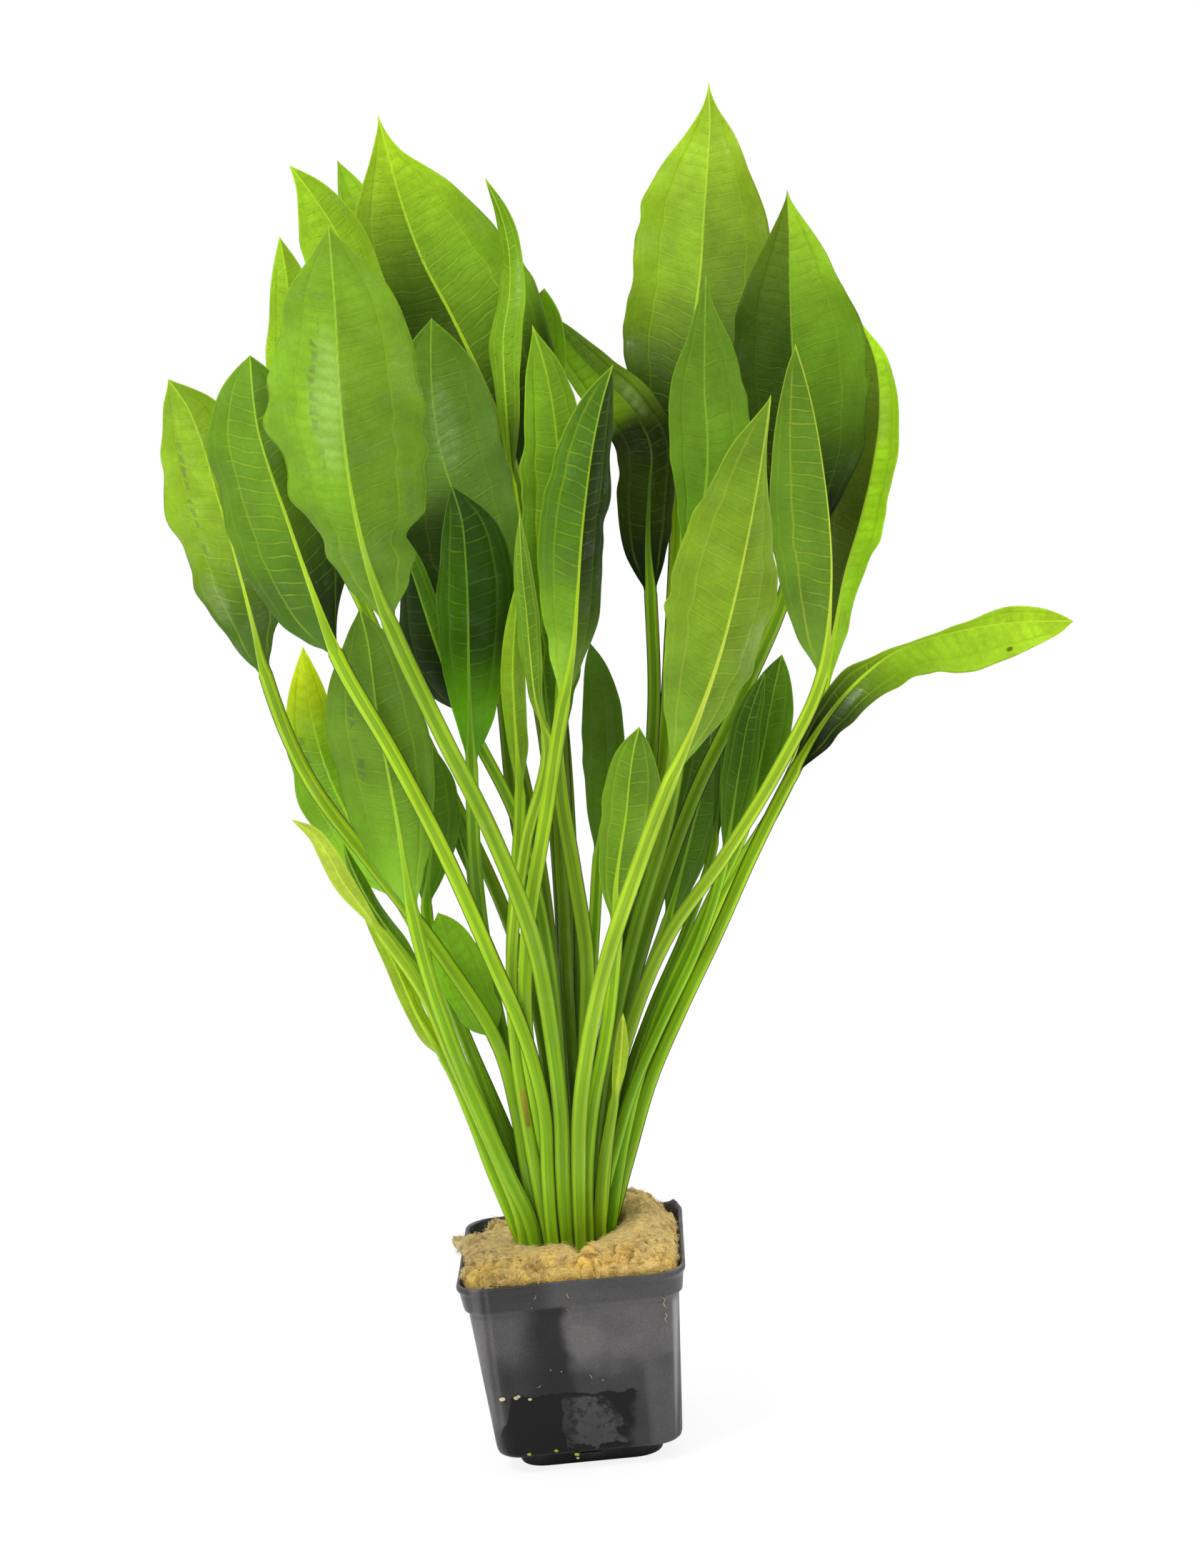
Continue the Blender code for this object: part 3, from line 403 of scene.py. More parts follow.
# Where a side of a blade is narrower or broader than a plain outline: places along the blade and
# shares of its width. The left side is -1 and the right side 1.
TRIM = {
    ("front_broad", -1): ((0.5, 1), (0.6, 0.95), (0.67, 0.97), (0.74, 0.68), (0.79, 0.98), (0.88, 1),
        (0.96, 1.1)),
    ("front_broad", 1): ((0.6, 1), (0.69, 1.12), (0.75, 1.22), (0.81, 0.92), (0.87, 1.5), (0.93, 1.6),
        (1, 1.2)),
    ("slender", -1): ((0.3, 1), (0.5, 2), (0.7, 3), (0.9, 3.4), (1, 4)),
    ("rounded", -1): ((0.35, 1), (0.5, 1.25), (0.6, 1.65), (0.7, 1.8), (0.8, 1.7), (0.9, 1.4)),
    ("pointed", -1): ((0, 0.6), (0.1, 0.62), (0.2, 0.65), (0.3, 0.9), (0.4, 1)),
    ("pointed", 1): ((0, 0.5), (0.1, 0.56), (0.2, 0.87), (0.3, 1)),
    ("front_right", 1): ((0, 0.35), (0.1, 0.15), (0.2, 0.3), (0.3, 0.66), (0.4, 0.86), (0.5, 0.93),
        (0.6, 1)),
    ("small_blunt", -1): ((0.5, 1), (0.72, 1.12), (0.86, 1.5), (0.95, 1.8)),
    ("small_blunt", 1): ((0.5, 1), (0.72, 1.1), (0.86, 1.4), (0.95, 1.6)),
    ("tallest", -1): ((0, 0.7), (0.05, 0.7), (0.1, 1), (0.2, 1.18), (0.3, 1.18), (0.4, 1.06),
        (0.5, 0.93), (0.6, 1.07), (0.7, 1.1), (1, 1)),
    ("tallest", 1): ((0, 0.7), (0.05, 0.7), (0.1, 1), (0.2, 1.12), (0.3, 1.1), (0.5, 1)),
    ("upper_left", 1): ((0, 0.6), (0.05, 0.6), (0.1, 0.75), (0.15, 1.1), (0.2, 1.17), (0.3, 1.08),
        (0.4, 1)),
    ("upper_middle", -1): ((0, 0.5), (0.05, 0.45), (0.1, 0.68), (0.2, 1)),
    ("sideways", -1): ((0.1, 1), (0.2, 0.9), (0.3, 0.42), (0.4, 0.2), (0.5, 0.12), (0.6, 0.45),
        (0.7, 1)),
    ("sideways", 1): ((0, 1), (0.1, 1.2), (0.3, 1.35), (0.4, 1.2), (0.5, 1)),
    ("far_left", -1): ((0.85, 1), (0.95, 1.4), (1, 2)),
    ("lower_inner", 1): ((0, 1.2), (1, 1.3)),
    ("lower_inner", -1): ((0, 1.2), (1, 1.3)),
}

# Where a side of a blade is folded back: places along the blade and angles in degrees.
FOLD = {("left_broad", 1): ((0.25, 0), (0.45, 66)), ("folded_right", 1): ((0.02, 0), (0.2, 62))}

RING = 8                        # points in a ring of the CAD's leaves
BLADE_STEP, STALK_STEP = 1.7, 5.0
BLADE_HALF_THICKNESS = 0.2
WIDEST = 0.47                   # where along it a blade is widest
RIB_COLUMNS = (0.35, 0.7, 0.92, 1.0)            # shares of the rib's half width
BLADE_COLUMNS = (0.06, 0.16, 0.28, 0.4, 0.5, 0.57, 0.62, 0.67, 0.76, 0.86, 0.94, 1.0)
RIB_FRONT, RIB_BACK = 0.3, 0.8                  # how far the rib stands out, against its half width
LATERAL, OUTER_LATERAL = 0.62, 0.86             # shares of the half width
VEIN_STEP = 4.6                 # between two cross veins
ROOT_DEPTH = 3.0                # how far a stalk goes on into the crown
STALK_WAIST = 0.85              # width of a stalk above its sheath, against its width below
WAIST_HEIGHTS = 90.0, 150.0     # a stalk narrows between these heights
BUNDLE_MIDDLE, BUNDLE_HALF = 1.0, 32.0          # of the stalks at the height below, across
BUNDLE_HEIGHT, BUNDLE_LEAN, BUNDLE_SPREAD = 116.0, 0.12, 0.45
# painted light and shade on each stalk: brighter for the stalks on the right, which the lamps leave
# darker, darker for the middle ones behind, in the shade of the leaves; the rest follow their blade's far
# level
STALK_PAINTED_LIGHT = {"left_broad": 1.0, "far_left": 0.9, "front_broad": 0.86, "front_centre": 0.92,
              "right_inner": 1.15, "right_behind": 1.15, "far_right": 1.12, "pointed": 1.12,
              "sideways": 1.0, "upper_right": 0.75, "tallest": 0.7}
# how far the upper part of a rib keeps to the colour of its blade
DULL_RIBS = {"front_broad": 0.55, "tallest": 0.7, "upper_right": 0.6, "pointed": 0.6, "ruffled": 0.5}
DRY_SHEATH, DRY_LOW, DRY_HIGH = "edge_on", 121.0, 137.0         # a dry brown strip sticks to its stalk
SPECKED, SPECK_OUT, SPECK_ALONG = "sideways", 0.75, 0.2         # a dark speck on its right half


# ---- leaves ----

def leaf_rings(node):
    """The tip of a leaf's CAD solid and its rings of eight points, from the tip to the root.

    Each ring starts at the left edge and goes over the front to the right edge and back.
    """
    index, spots = [], {}
    for vertex in node.data.vertices:
        index.append(spots.setdefault(tuple(vertex.co), len(spots)))
    points = np.array(list(spots)) / MM
    near = [set() for _ in points]
    for edge in node.data.edges:
        a, b = (index[k] for k in edge.vertices)
        if a != b:
            near[a].add(b)
            near[b].add(a)
    root = points[:, 2].argmin()
    tip = int(np.linalg.norm(points - points[root], axis=1).argmax())
    shells, seen = [[tip]], {tip}
    while len(seen) < len(points):
        shells.append(sorted({n for k in shells[-1] for n in near[k]} - seen))
        seen.update(shells[-1])
    rings = []
    for shell in shells[1:]:
        if shell is shells[-1]:
            order = around(points, shell, rings[-1])
        else:
            order = [shell[0]]
            while len(order) < RING:
                order.append(next(k for k in near[order[-1]] if k in shell and k not in order))
        turns = [np.roll(way, -k) for way in (order, order[::-1]) for k in range(RING)]
        if rings:
            before = rings[-1]
            joined = [t for t in turns if all(b in near[a] for a, b in zip(before, t))]
            last = spread(points[before])
            order = min(joined or turns, key=lambda t: ((spread(points[t]) - last) ** 2).sum())
        else:
            order = max(turns, key=lambda t: first_order(points[t]))
        rings.append(list(order))
    return points[tip], points[np.array(rings)]


def spread(ring):
    """A ring's points about its middle, in shares of its size."""
    centred = ring - ring.mean(axis=0)
    return centred / np.sqrt((centred ** 2).mean())


def around(points, shell, before):
    """The last ring's points in order of their angle, because its end face joins them all."""
    ring = points[shell] - points[shell].mean(axis=0)
    ahead = points[shell].mean(axis=0) - points[before].mean(axis=0)
    side = np.cross(ahead, VIEW_AHEAD)
    over = np.cross(ahead, side)
    angle = np.arctan2(ring @ unit(over), ring @ unit(side))
    return [shell[k] for k in angle.argsort()]


def first_order(ring):
    """How well a first ring starts at its left edge and goes over the front, seen from the camera."""
    left = (ring[4] - ring[0]) @ VIEW_RIGHT > 0
    front = (ring[5:8].mean(axis=0) - ring[1:4].mean(axis=0)) @ VIEW_AHEAD > 0
    return np.linalg.norm(ring[4] - ring[0]) * 10 + left + front


def outline(share, slim):
    """Half width of a blade, from 0 at the tip to about 1 and 0 at its base."""
    share = np.clip(share, 0.0, 1.0)

    def half(s, whole):
        """One end of the blade, drawn out to a point."""
        return (s / whole) ** (whole * slim) * (s / (s + 0.05)) / (whole / (whole + 0.05))

    return half(share, WIDEST) * half(1.0 - share, 1.0 - WIDEST)


def trimmed(sigma, stops):
    """The stops' share at each place, with its corners rounded off."""
    fine = np.linspace(-0.1, 1.1, 601)
    share = np.interp(fine, *zip(*stops))
    soft = np.convolve(np.pad(share, 12, mode="edge"), np.ones(25) / 25, mode="valid")
    return np.interp(sigma, fine, soft)


def blade_end_of(widths):
    """The number of the ring where the blade has narrowed to the stalk."""
    top = int(np.argmax(widths))
    for k in range(top + 1, len(widths) - 1):
        if widths[k] - widths[k + 1] < 0.04 * widths[top]:
            return k
    return len(widths) - 1


def leaf_rows(name, slim):
    """The rows that a leaf is laid on: its midrib, its axes, its ways to the edges, its sizes."""
    tip, rings = leaf_rings(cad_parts["leaf_" + name])
    rings = np.concatenate((rings, rings[-1:] - (0.0, 0.0, ROOT_DEPTH)))
    left, right = rings[:, 0], rings[:, 4]
    middle = (rings[:, 2] + rings[:, 6]) / 2
    quarters = (rings[:, 1] + rings[:, 7]) / 2, (rings[:, 3] + rings[:, 5]) / 2
    front = (rings[:, 2] - rings[:, 6]) / 2
    widths = np.linalg.norm(right - left, axis=1)
    end = blade_end_of(widths)

    path = np.concatenate((tip[None], middle))
    knots = np.concatenate(([0.0], np.cumsum(np.linalg.norm(np.diff(path, axis=0), axis=1))))
    blade_length = knots[end + 1]
    blade_rows = int(blade_length / BLADE_STEP)
    stalk_rows = max(4, int((knots[-1] - blade_length) / STALK_STEP))
    along = np.concatenate((blade_length * (np.arange(blade_rows) + 0.3) / blade_rows,
                            np.linspace(blade_length, knots[-1], stalk_rows)))
    sigma = along / blade_length
    base = outline(sigma, slim)

    def on_rows(values):
        return smooth_rows(knots, values, along)

    def axis(vectors):
        return unit(on_rows(np.concatenate((vectors[:1], vectors))))

    def way_to(points):
        """Vectors from the rib to an edge or quarter line at each row, by the blade's outline."""
        full = [(points[k] - middle[k]) / outline(knots[k + 1] / blade_length, slim)
                for k in range(end)]
        full = [full[0], *full] + [full[-1]] * (len(knots) - end - 1)
        return on_rows(full) * base[:, None]

    rib_line = on_rows(path)
    slimmer = 1 - (1 - STALK_WAIST) * ease(rib_line[:, 2], *WAIST_HEIGHTS)
    stalk_half, thick = (np.interp(along, knots[1:][end:], sizes[end:]) * slimmer
                         for sizes in (widths / 2, np.linalg.norm(front, axis=1)))
    # the rib widens into the stalk
    grown = 0.12 + 0.12 * sigma + 0.76 * np.clip(sigma, 0, 1) ** 6
    rib = np.maximum(np.where(sigma < 1, stalk_half * grown, stalk_half), 0.3)
    rib[0] *= 0.4
    return SimpleNamespace(
        tip=tip, along=along, sigma=sigma, base=base, stalky=ease(sigma, 0.72, 1.0),
        rib_line=rib_line, rib=rib, thick=thick, across=axis(unit(right - left)), front=axis(front),
        sides=[(way_to(edge), way_to(quarter)) for edge, quarter in zip((left, right), quarters)])


def surface_normals(surface, front):
    turned = unit(np.cross(np.gradient(surface, axis=1), np.gradient(surface, axis=0)))
    sign = np.sign((turned * front[:, None]).sum(axis=2).mean(axis=1))
    return turned * np.where(sign == 0, 1, sign)[:, None, None]


def leaf_surface(name, look, rows, phases):
    """A leaf's middle surface as rows of points, the points' distances from the rib's middle, the
    half widths there, and the first as shares of the second.
    """
    along, sigma, rib = rows.along, rows.sigma, rows.rib
    columns = []
    for side, (to_edge, to_quarter) in zip((-1, 1), rows.sides):
        reach = np.linalg.norm(to_edge, axis=1)
        if (name, side) in FOLD:
            angle = np.radians(trimmed(sigma, FOLD[name, side]))[:, None]
            back = rows.front * reach[:, None]
            to_edge = to_edge * np.cos(angle) - back * np.sin(angle)
            to_quarter = to_quarter * np.cos(0.8 * angle) - back * 0.5 * np.sin(0.8 * angle)
        wave = np.sin(along / 2.9 + phases[6] + side) + 0.7 * np.sin(along / 1.9 + phases[7] - side)
        wave = wave * (0.55 + 0.45 * np.sin(along / 8 + phases[5] + 2 * side))
        wiggle = 1 + 0.018 * np.sin(along / 9 + phases[0] * side) * ease(sigma, 0.0, 0.2)
        wiggle += (look.ruffle * 0.3 * wave * ease(sigma, 0.1, 0.45) * ease(reach, 3.0, 9.0)
                   / np.maximum(reach, 3.0))
        if (name, side) in TRIM:
            wiggle *= trimmed(sigma, TRIM[name, side])
        reach = reach * wiggle
        full = (reach ** 4 + (1.1 * rib) ** 4) ** 0.25
        extra = side * rows.across * (full - reach)[:, None]
        to_edge = to_edge * wiggle[:, None] + extra
        to_quarter = to_quarter * wiggle[:, None] + extra / 2
        for out in (0.0,) * (side < 0) + RIB_COLUMNS + tuple(1 + b for b in BLADE_COLUMNS):
            x = rib * min(out, 1.0) + (full - rib) * max(out - 1.0, 0.0)
            t = (x / full)[:, None]
            point = (rows.rib_line + (4 * to_quarter - to_edge) * t
                     + (2 * to_edge - 4 * to_quarter) * t ** 2)
            columns.append((side * out, point, side * x, full, side * x / full))
    columns.sort(key=lambda column: column[0])
    grid, x, full, t = (np.stack(part, axis=1) for part in list(zip(*columns))[1:])

    # ruffled edges, slow waves, and a pleat along each lateral vein
    s, out = along[:, None], abs(t)
    flutter = np.where(t < 0, np.sin(s / 5.6 + phases[1]) + 0.6 * np.sin(s / 3.4 + phases[2]),
                       np.sin(s / 6.3 + phases[3]) + 0.6 * np.sin(s / 3.7 + phases[4]))
    lift = look.ruffle * 0.6 * out ** 3 * flutter + 0.5 * np.sin(s / 11 + phases[5] + 1.5 * t) * out
    lift = lift - look.pleat * np.exp(-((out - LATERAL) / 0.09) ** 2)
    lift = lift - 0.4 * look.pleat * np.exp(-((out - OUTER_LATERAL) / 0.05) ** 2)
    on_blade = np.sqrt(np.clip(rows.base, 0, 1)) * (1 - rows.stalky)
    lift = lift * on_blade[:, None] * ease(full, 2.0, 9.0)
    return grid + surface_normals(grid, rows.front) * lift[:, :, None], x, full, t


def build_leaf(name, look, seed):
    phases = np.random.default_rng(seed).uniform(0, 2 * math.pi, 8)
    rows = leaf_rows(name, look.slim)
    grid, x, full, t = leaf_surface(name, look, rows, phases)

    # thickness: a thin blade with a rib that stands out more at the back, and a flat oval stalk
    rib, thick, stalky = rows.rib[:, None], rows.thick[:, None], rows.stalky[:, None]
    thin = BLADE_HALF_THICKNESS * (1 - 0.45 * abs(t))
    bulge = np.sqrt(np.clip(1 - (x / rib) ** 2, 0, 1))
    above, below = (thin + np.maximum(0.0, rib * out + (thick - rib * out) * stalky - thin) * bulge
                    for out in (RIB_FRONT, RIB_BACK))
    normal = surface_normals(grid, rows.front)
    top, bottom = grid + normal * above[:, :, None], grid - normal * below[:, :, None]
    top[:, 0], top[:, -1] = grid[:, 0], grid[:, -1]

    count, columns = x.shape
    order = [*range(columns), *range(columns - 2, 0, -1)]
    size = len(order)
    loops = np.concatenate((top, bottom[:, -2:0:-1]), axis=1)
    faces = loop_faces(count, size, first=1).tolist()
    faces += [(0, 1 + k, 1 + (k + 1) % size) for k in range(size)]
    faces.append(tuple(range(count * size, (count - 1) * size, -1)))
    leaf = add_mesh(f"leaf_{name}_blade", np.concatenate((rows.tip[None], loops.reshape(-1, 3))), faces,
                    leaf_material(name, look),
                    "leaf_" + name)
    facing = np.array([1.0] * columns + [0.0] * (size - columns))
    tables = {"leaf_place": (x[:, order], rows.along[:, None], full[:, order]),
              "leaf_share": (t[:, order], rows.sigma[:, None], facing),
              "leaf_rib": ((x / rib)[:, order], stalky, rib)}
    for key, values in tables.items():
        flat = np.stack([value * np.ones((count, size)) for value in values], axis=2).reshape(-1, 3)
        set_numbers(leaf, key, np.concatenate((flat[columns // 2][None], flat)))


def leaf_fields(paint):
    """Where a point is on its leaf, and the noise and the veins that its colours and bumps share."""
    on = SimpleNamespace()
    on.x, on.along, on.wide = paint.parts(paint.attribute("leaf_place"))
    on.t, on.sigma, on.facing = paint.parts(paint.attribute("leaf_share"))
    on.in_rib, on.stalky, _ = paint.parts(paint.attribute("leaf_rib"))
    on.cloudy, on.fine, on.wander = paint.noise(14, 3), paint.noise(1.6, 2, 0.6), paint.noise(9, 1)
    own_place = paint.node("ShaderNodeCombineXYZ", X=on.x * MM, Y=on.along * (0.02 * MM))
    on.lines = paint.noise(0.8, 1, place=own_place.outputs[0])
    on.blade, on.rib = on.stalky.ramp(0.5, 0), abs(on.in_rib).ramp(1.08, 0.86)
    out = abs(on.t)

    # cross veins climb outwards from the rib and end on the lateral, with the blade puffed between
    lateral = abs((out - LATERAL + (on.wander - 0.5) * 0.04) * on.wide).ramp(0.7, 0.12)
    on.lateral = lateral * on.sigma.ramp(0.03, 0.12) * on.stalky.ramp(1, 0.6)
    outer = abs((out - OUTER_LATERAL + (on.wander - 0.5) * 0.03) * on.wide).ramp(0.5, 0.1)
    on.outer = outer * on.sigma.ramp(0.1, 0.25) * on.blade
    slant = on.along + abs(on.x) * 0.28 + on.wander * 3.4 + on.t.ramp(-0.01, 0.01) * 2.2
    on.cell = abs((slant / VEIN_STEP).math("FRACT") - 0.5)
    inside = out.ramp(0.8, 0.6) * on.sigma.ramp(0.04, 0.14) * on.blade
    on.cross = on.cell.ramp(0.085, 0.035) * inside * paint.noise(7, 1).ramp(0.34, 0.6, 0.35, 1)
    # the strip beside each cross vein gets a painted shadow, and the puffed cells between the veins
    # painted light, in the blade's colour
    on.beside = on.cell.ramp(0.2, 0.12) * on.cell.ramp(0.05, 0.09) * inside
    on.puffed = on.cell.ramp(0, 0.5) * inside
    netted = paint.node("ShaderNodeTexVoronoi", Vector=paint.place, Scale=1.0 / (1.7 * MM))
    netted.feature = "DISTANCE_TO_EDGE"
    on.netted = Field(paint.tree, netted.outputs["Distance"]).ramp(0.1, 0.02) * on.blade
    on.edge = (out.rest() * on.wide).ramp(0.6, 0.15) * on.stalky.ramp(0.6, 0)
    return on


def painted_light_levels(look, on):
    """Painted light and shade along a leaf's left and its right half, partly the leaf's own tone."""
    for near, half, far, *turn in (look.left, look.right):
        begin, end = turn or (0.1, 0.5)
        yield on.sigma.ramp(begin, end, near, half) + on.sigma.ramp(end, 0.88, 0, far - half)


def blade_colour(paint, look, on, colours, level):
    """A mottled blade with pale veins and a pale edge, under painted light and shade, with painted light
    on its puffed cells and a painted shadow beside each cross vein.
    """
    tip, mid, low, rib_colour = colours
    blade = paint.ramp(on.sigma, (0.03, tip), (0.42, mid), (0.92, low))
    mottle = on.cloudy.ramp(0.25, 0.75, 0.86, 1.14), on.fine.ramp(0.3, 0.7, 0.94, 1.06)
    # painted light and shade: the blade times its levels
    blade = paint.shade(blade, *mottle, level)
    # the pale veins get painted shade where the levels are low
    pale = paint.shade(paint.mix(0.6, blade, rib_colour), level.ramp(0.2, 0.9, 0.4, 1))
    # painted light on the puffed cells between the cross veins and a painted shadow beside each cross
    # vein
    blade = paint.shade(blade, on.netted * -0.05 + on.puffed * (0.08 * look.pleat) + 1.03,
                        on.beside * -0.07 + 1.0)
    blade = paint.mix(on.cross * 0.85, blade, pale)
    blade = paint.mix((on.lateral * 0.75).most(on.outer * 0.3), blade, pale)
    return paint.mix(on.edge * 0.7, blade, paint.shade(pale, 1.2))


def wet_places(paint, name, look, on, blade):
    """The blade's colour with its blisters, its bloom with a painted sheen and its speck, how wet it is
    and where the bloom is.
    """
    wet, bloom = paint.noise(11, 2, distort=0.6).ramp(0.5, 0.62) * look.wet, None
    if look.row:
        line, start, stop = look.row
        row = abs((on.t - line + (on.wander - 0.5) * 0.1) * on.wide) + paint.noise(3, 1) * 2.0
        row = row.ramp(2.6, 2) * on.sigma.ramp(start, start + 0.06) * on.sigma.ramp(stop, stop - 0.06)
        row = row * on.cell.ramp(0.12, 0.2) * paint.noise(5, 1).ramp(0.42, 0.48)
        blade = paint.mix(row * 0.6, blade, paint.shade(blade, 0.5))
        wet = wet.most(row)
    if look.bloom:
        line, middle, reach = look.bloom
        off_line, off_middle = (on.t - line) / 0.3, (on.sigma - middle) / reach
        bloom = (off_line * off_line + off_middle * off_middle).ramp(1, 0.1)
        bloom = bloom * (on.cloudy * 0.5 + on.puffed * 0.14 + on.fine * 0.2).ramp(0.3, 0.6, 0.3, 1)
        # painted sheen: the pale bloom is partly a waxy bloom and partly painted reflection of bright
        # light on the wet surface
        blade = paint.mix(bloom * 0.36, blade, linear((196, 212, 160)))
        wet = wet.most(bloom * 0.8)
    if name == SPECKED:
        side, ahead = (on.t - SPECK_OUT) * on.wide, (on.sigma - SPECK_ALONG) * 90.0
        speck = (side * side + ahead * ahead).ramp(1.3, 0.5)
        blade = paint.mix(speck * 0.8, blade, linear((70, 84, 16)))
    return blade, wet, bloom


def stalk_colour(paint, name, look, on, rib_colour):
    """Yellow-green flanks with a greener middle, with painted shade darker towards the root and inside
    the bundle and a painted light level for each stalk.
    """
    x, y, height = paint.place_mm()
    stripe = abs(on.in_rib)
    flank = paint.mix(0.65, rib_colour, linear((156, 196, 14)))
    core = paint.mix(0.7, rib_colour, linear((100, 154, 10)))
    stalk = paint.mix(stripe.ramp(0.1, 0.55), core, flank)
    stalk = paint.shade(stalk, on.lines.ramp(0.3, 0.7, 0.86, 1.1), stripe.line(0.3, 0.05) * -0.2 + 1.0)
    # painted shade: darker and greener from 230 mm down to 100 mm, where the leaves shade the stalks
    stalk = paint.mix(height.ramp(230, 100) * 0.45, stalk, linear((92, 146, 8)))
    # painted light and shade for the whole stalk, times a random tone
    tone = STALK_PAINTED_LIGHT.get(name, min(1.0, max(0.5, look.left[2], look.right[2])))
    stalk = paint.shade(stalk, paint.noise(30, 1).ramp(0.3, 0.7, 0.9, 1.1) * (1.15 * tone))
    # painted shade inside the bundle, where the stalks shade one another, with their edges darker still
    half = (height - BUNDLE_HEIGHT) * BUNDLE_SPREAD + BUNDLE_HALF
    axis = (height - BUNDLE_HEIGHT) * BUNDLE_LEAN + BUNDLE_MIDDLE
    inner = abs((x - axis) / half).ramp(0.85, 0.35) * y.ramp(-16, -2) * y.ramp(48, 28)
    inner = inner * height.ramp(330, 240)
    stalk = paint.shade(stalk, inner * -0.5 + 1.0,
                        stripe.ramp(0.75, 1) * inner.ramp(0, 0.5, -0.1, -0.3) + 1.0)
    if name == DRY_SHEATH:
        dry = height.ramp(DRY_LOW, DRY_LOW + 2) * height.ramp(DRY_HIGH, DRY_HIGH - 2)
        dry = dry * (on.in_rib + on.lines * 0.4).line(0.45, 0.3)
        straw = paint.mix(height.ramp(DRY_LOW, DRY_HIGH), linear((128, 92, 28)), linear((178, 146, 56)))
        stalk = paint.mix(dry * 0.9, stalk, straw)
    return stalk


def leaf_material(name, look):
    """The skin of one leaf: mottled blade, veins, rib, stalk and a wet gloss in places, all under painted
    light and shade, with a painted sheen in the bloom.
    """
    paint = Paint("leaf_" + name)
    on = leaf_fields(paint)
    colours = [linear(PALETTE[key]) for key in look.colours.split()]
    # painted light and shade: the levels of the left and the right half, blended across the rib
    left, right = painted_light_levels(look, on)
    right_side = on.t.ramp(-0.04, 0.04)
    level = left * right_side.rest() + right * right_side
    blade = blade_colour(paint, look, on, colours, level)
    blade, wet, bloom = wet_places(paint, name, look, on, blade)
    dull = paint.mix(DULL_RIBS.get(name, 0.4), colours[-1], blade)
    rib = paint.mix(on.sigma.ramp(0.25, 0.75), dull, colours[-1])
    # the rib gets painted light and shade after the levels of its blade
    rib = paint.shade(rib, left.most(right).ramp(0.2, 0.8, 0.35, 1.2))
    stalk = stalk_colour(paint, name, look, on, colours[-1])
    colour = paint.mix(on.rib, blade, paint.mix(on.stalky, rib, stalk))
    behind = paint.mix(0.4, colour, linear(PALETTE["dusty"]))
    colour = paint.mix(on.facing.rest() * 0.5, colour, behind)

    beaded = paint.noise(1.5, 1).ramp(0.56, 0.66) * wet * on.blade
    beads = beaded * 0.2
    if bloom:
        beads = beads + paint.noise(2.6) * bloom * (0.9 * look.wet)
    height = on.cross * 0.1 + on.puffed * (0.12 * look.pleat) + on.lateral * -0.16
    height = height + on.lines * 0.14 * on.stalky + paint.noise(3.2, 1, 0.4) * 0.14 * on.blade
    normal = paint.bump(height + beads + on.fine * 0.012 - on.netted * 0.02)
    rough = on.fine.ramp(0.2, 0.8, 0.36, 0.5) - wet * 0.16 - on.stalky * 0.06
    skin = paint.principled(Base_Color=colour, Roughness=rough, Normal=normal, IOR=1.36,
                            Specular_IOR_Level=0.24, Coat_Weight=wet * 0.3 + beaded * 0.7,
                            Coat_Roughness=0.07)
    # the light through the leaf is tinted by the painted levels too
    glow = paint.mix(0.35, paint.shade(colour, 1.5), paint.shade(linear((206, 214, 30)), level))
    through = paint.node("ShaderNodeBsdfTranslucent", Color=glow, Normal=normal)
    share = on.stalky.most(on.rib * 0.7) * -0.34 + 0.42
    return paint.finish(paint.mix_shaders(share, skin, through))


# ---- pot ----

def rounded_square(width, corner, height):
    """A ring of points round a square with rounded corners."""
    inner = width / 2 - corner
    ring = []
    for quarter in range(4):
        middle = math.radians(45 + 90 * quarter)
        cx, cy = math.copysign(inner, math.cos(middle)), math.copysign(inner, math.sin(middle))
        for step in range(CORNER_STEPS + 1):
            angle = math.radians(90 * quarter + 90 * step / CORNER_STEPS)
            ring.append((cx + corner * math.cos(angle), cy + corner * math.sin(angle), height))
        start = np.array(ring[-1])
        heading = np.array((-math.sin(angle), math.cos(angle), 0.0))
        for step in range(1, SIDE_STEPS):
            ring.append(tuple(start + heading * 2 * inner * step / SIDE_STEPS))
    return ring


def body_width(height):
    share = (height - FOOT_HEIGHT) / (BAND_FOOT - FOOT_HEIGHT)
    return BODY_BOTTOM_WIDTH + (BODY_TOP_WIDTH - BODY_BOTTOM_WIDTH) * share


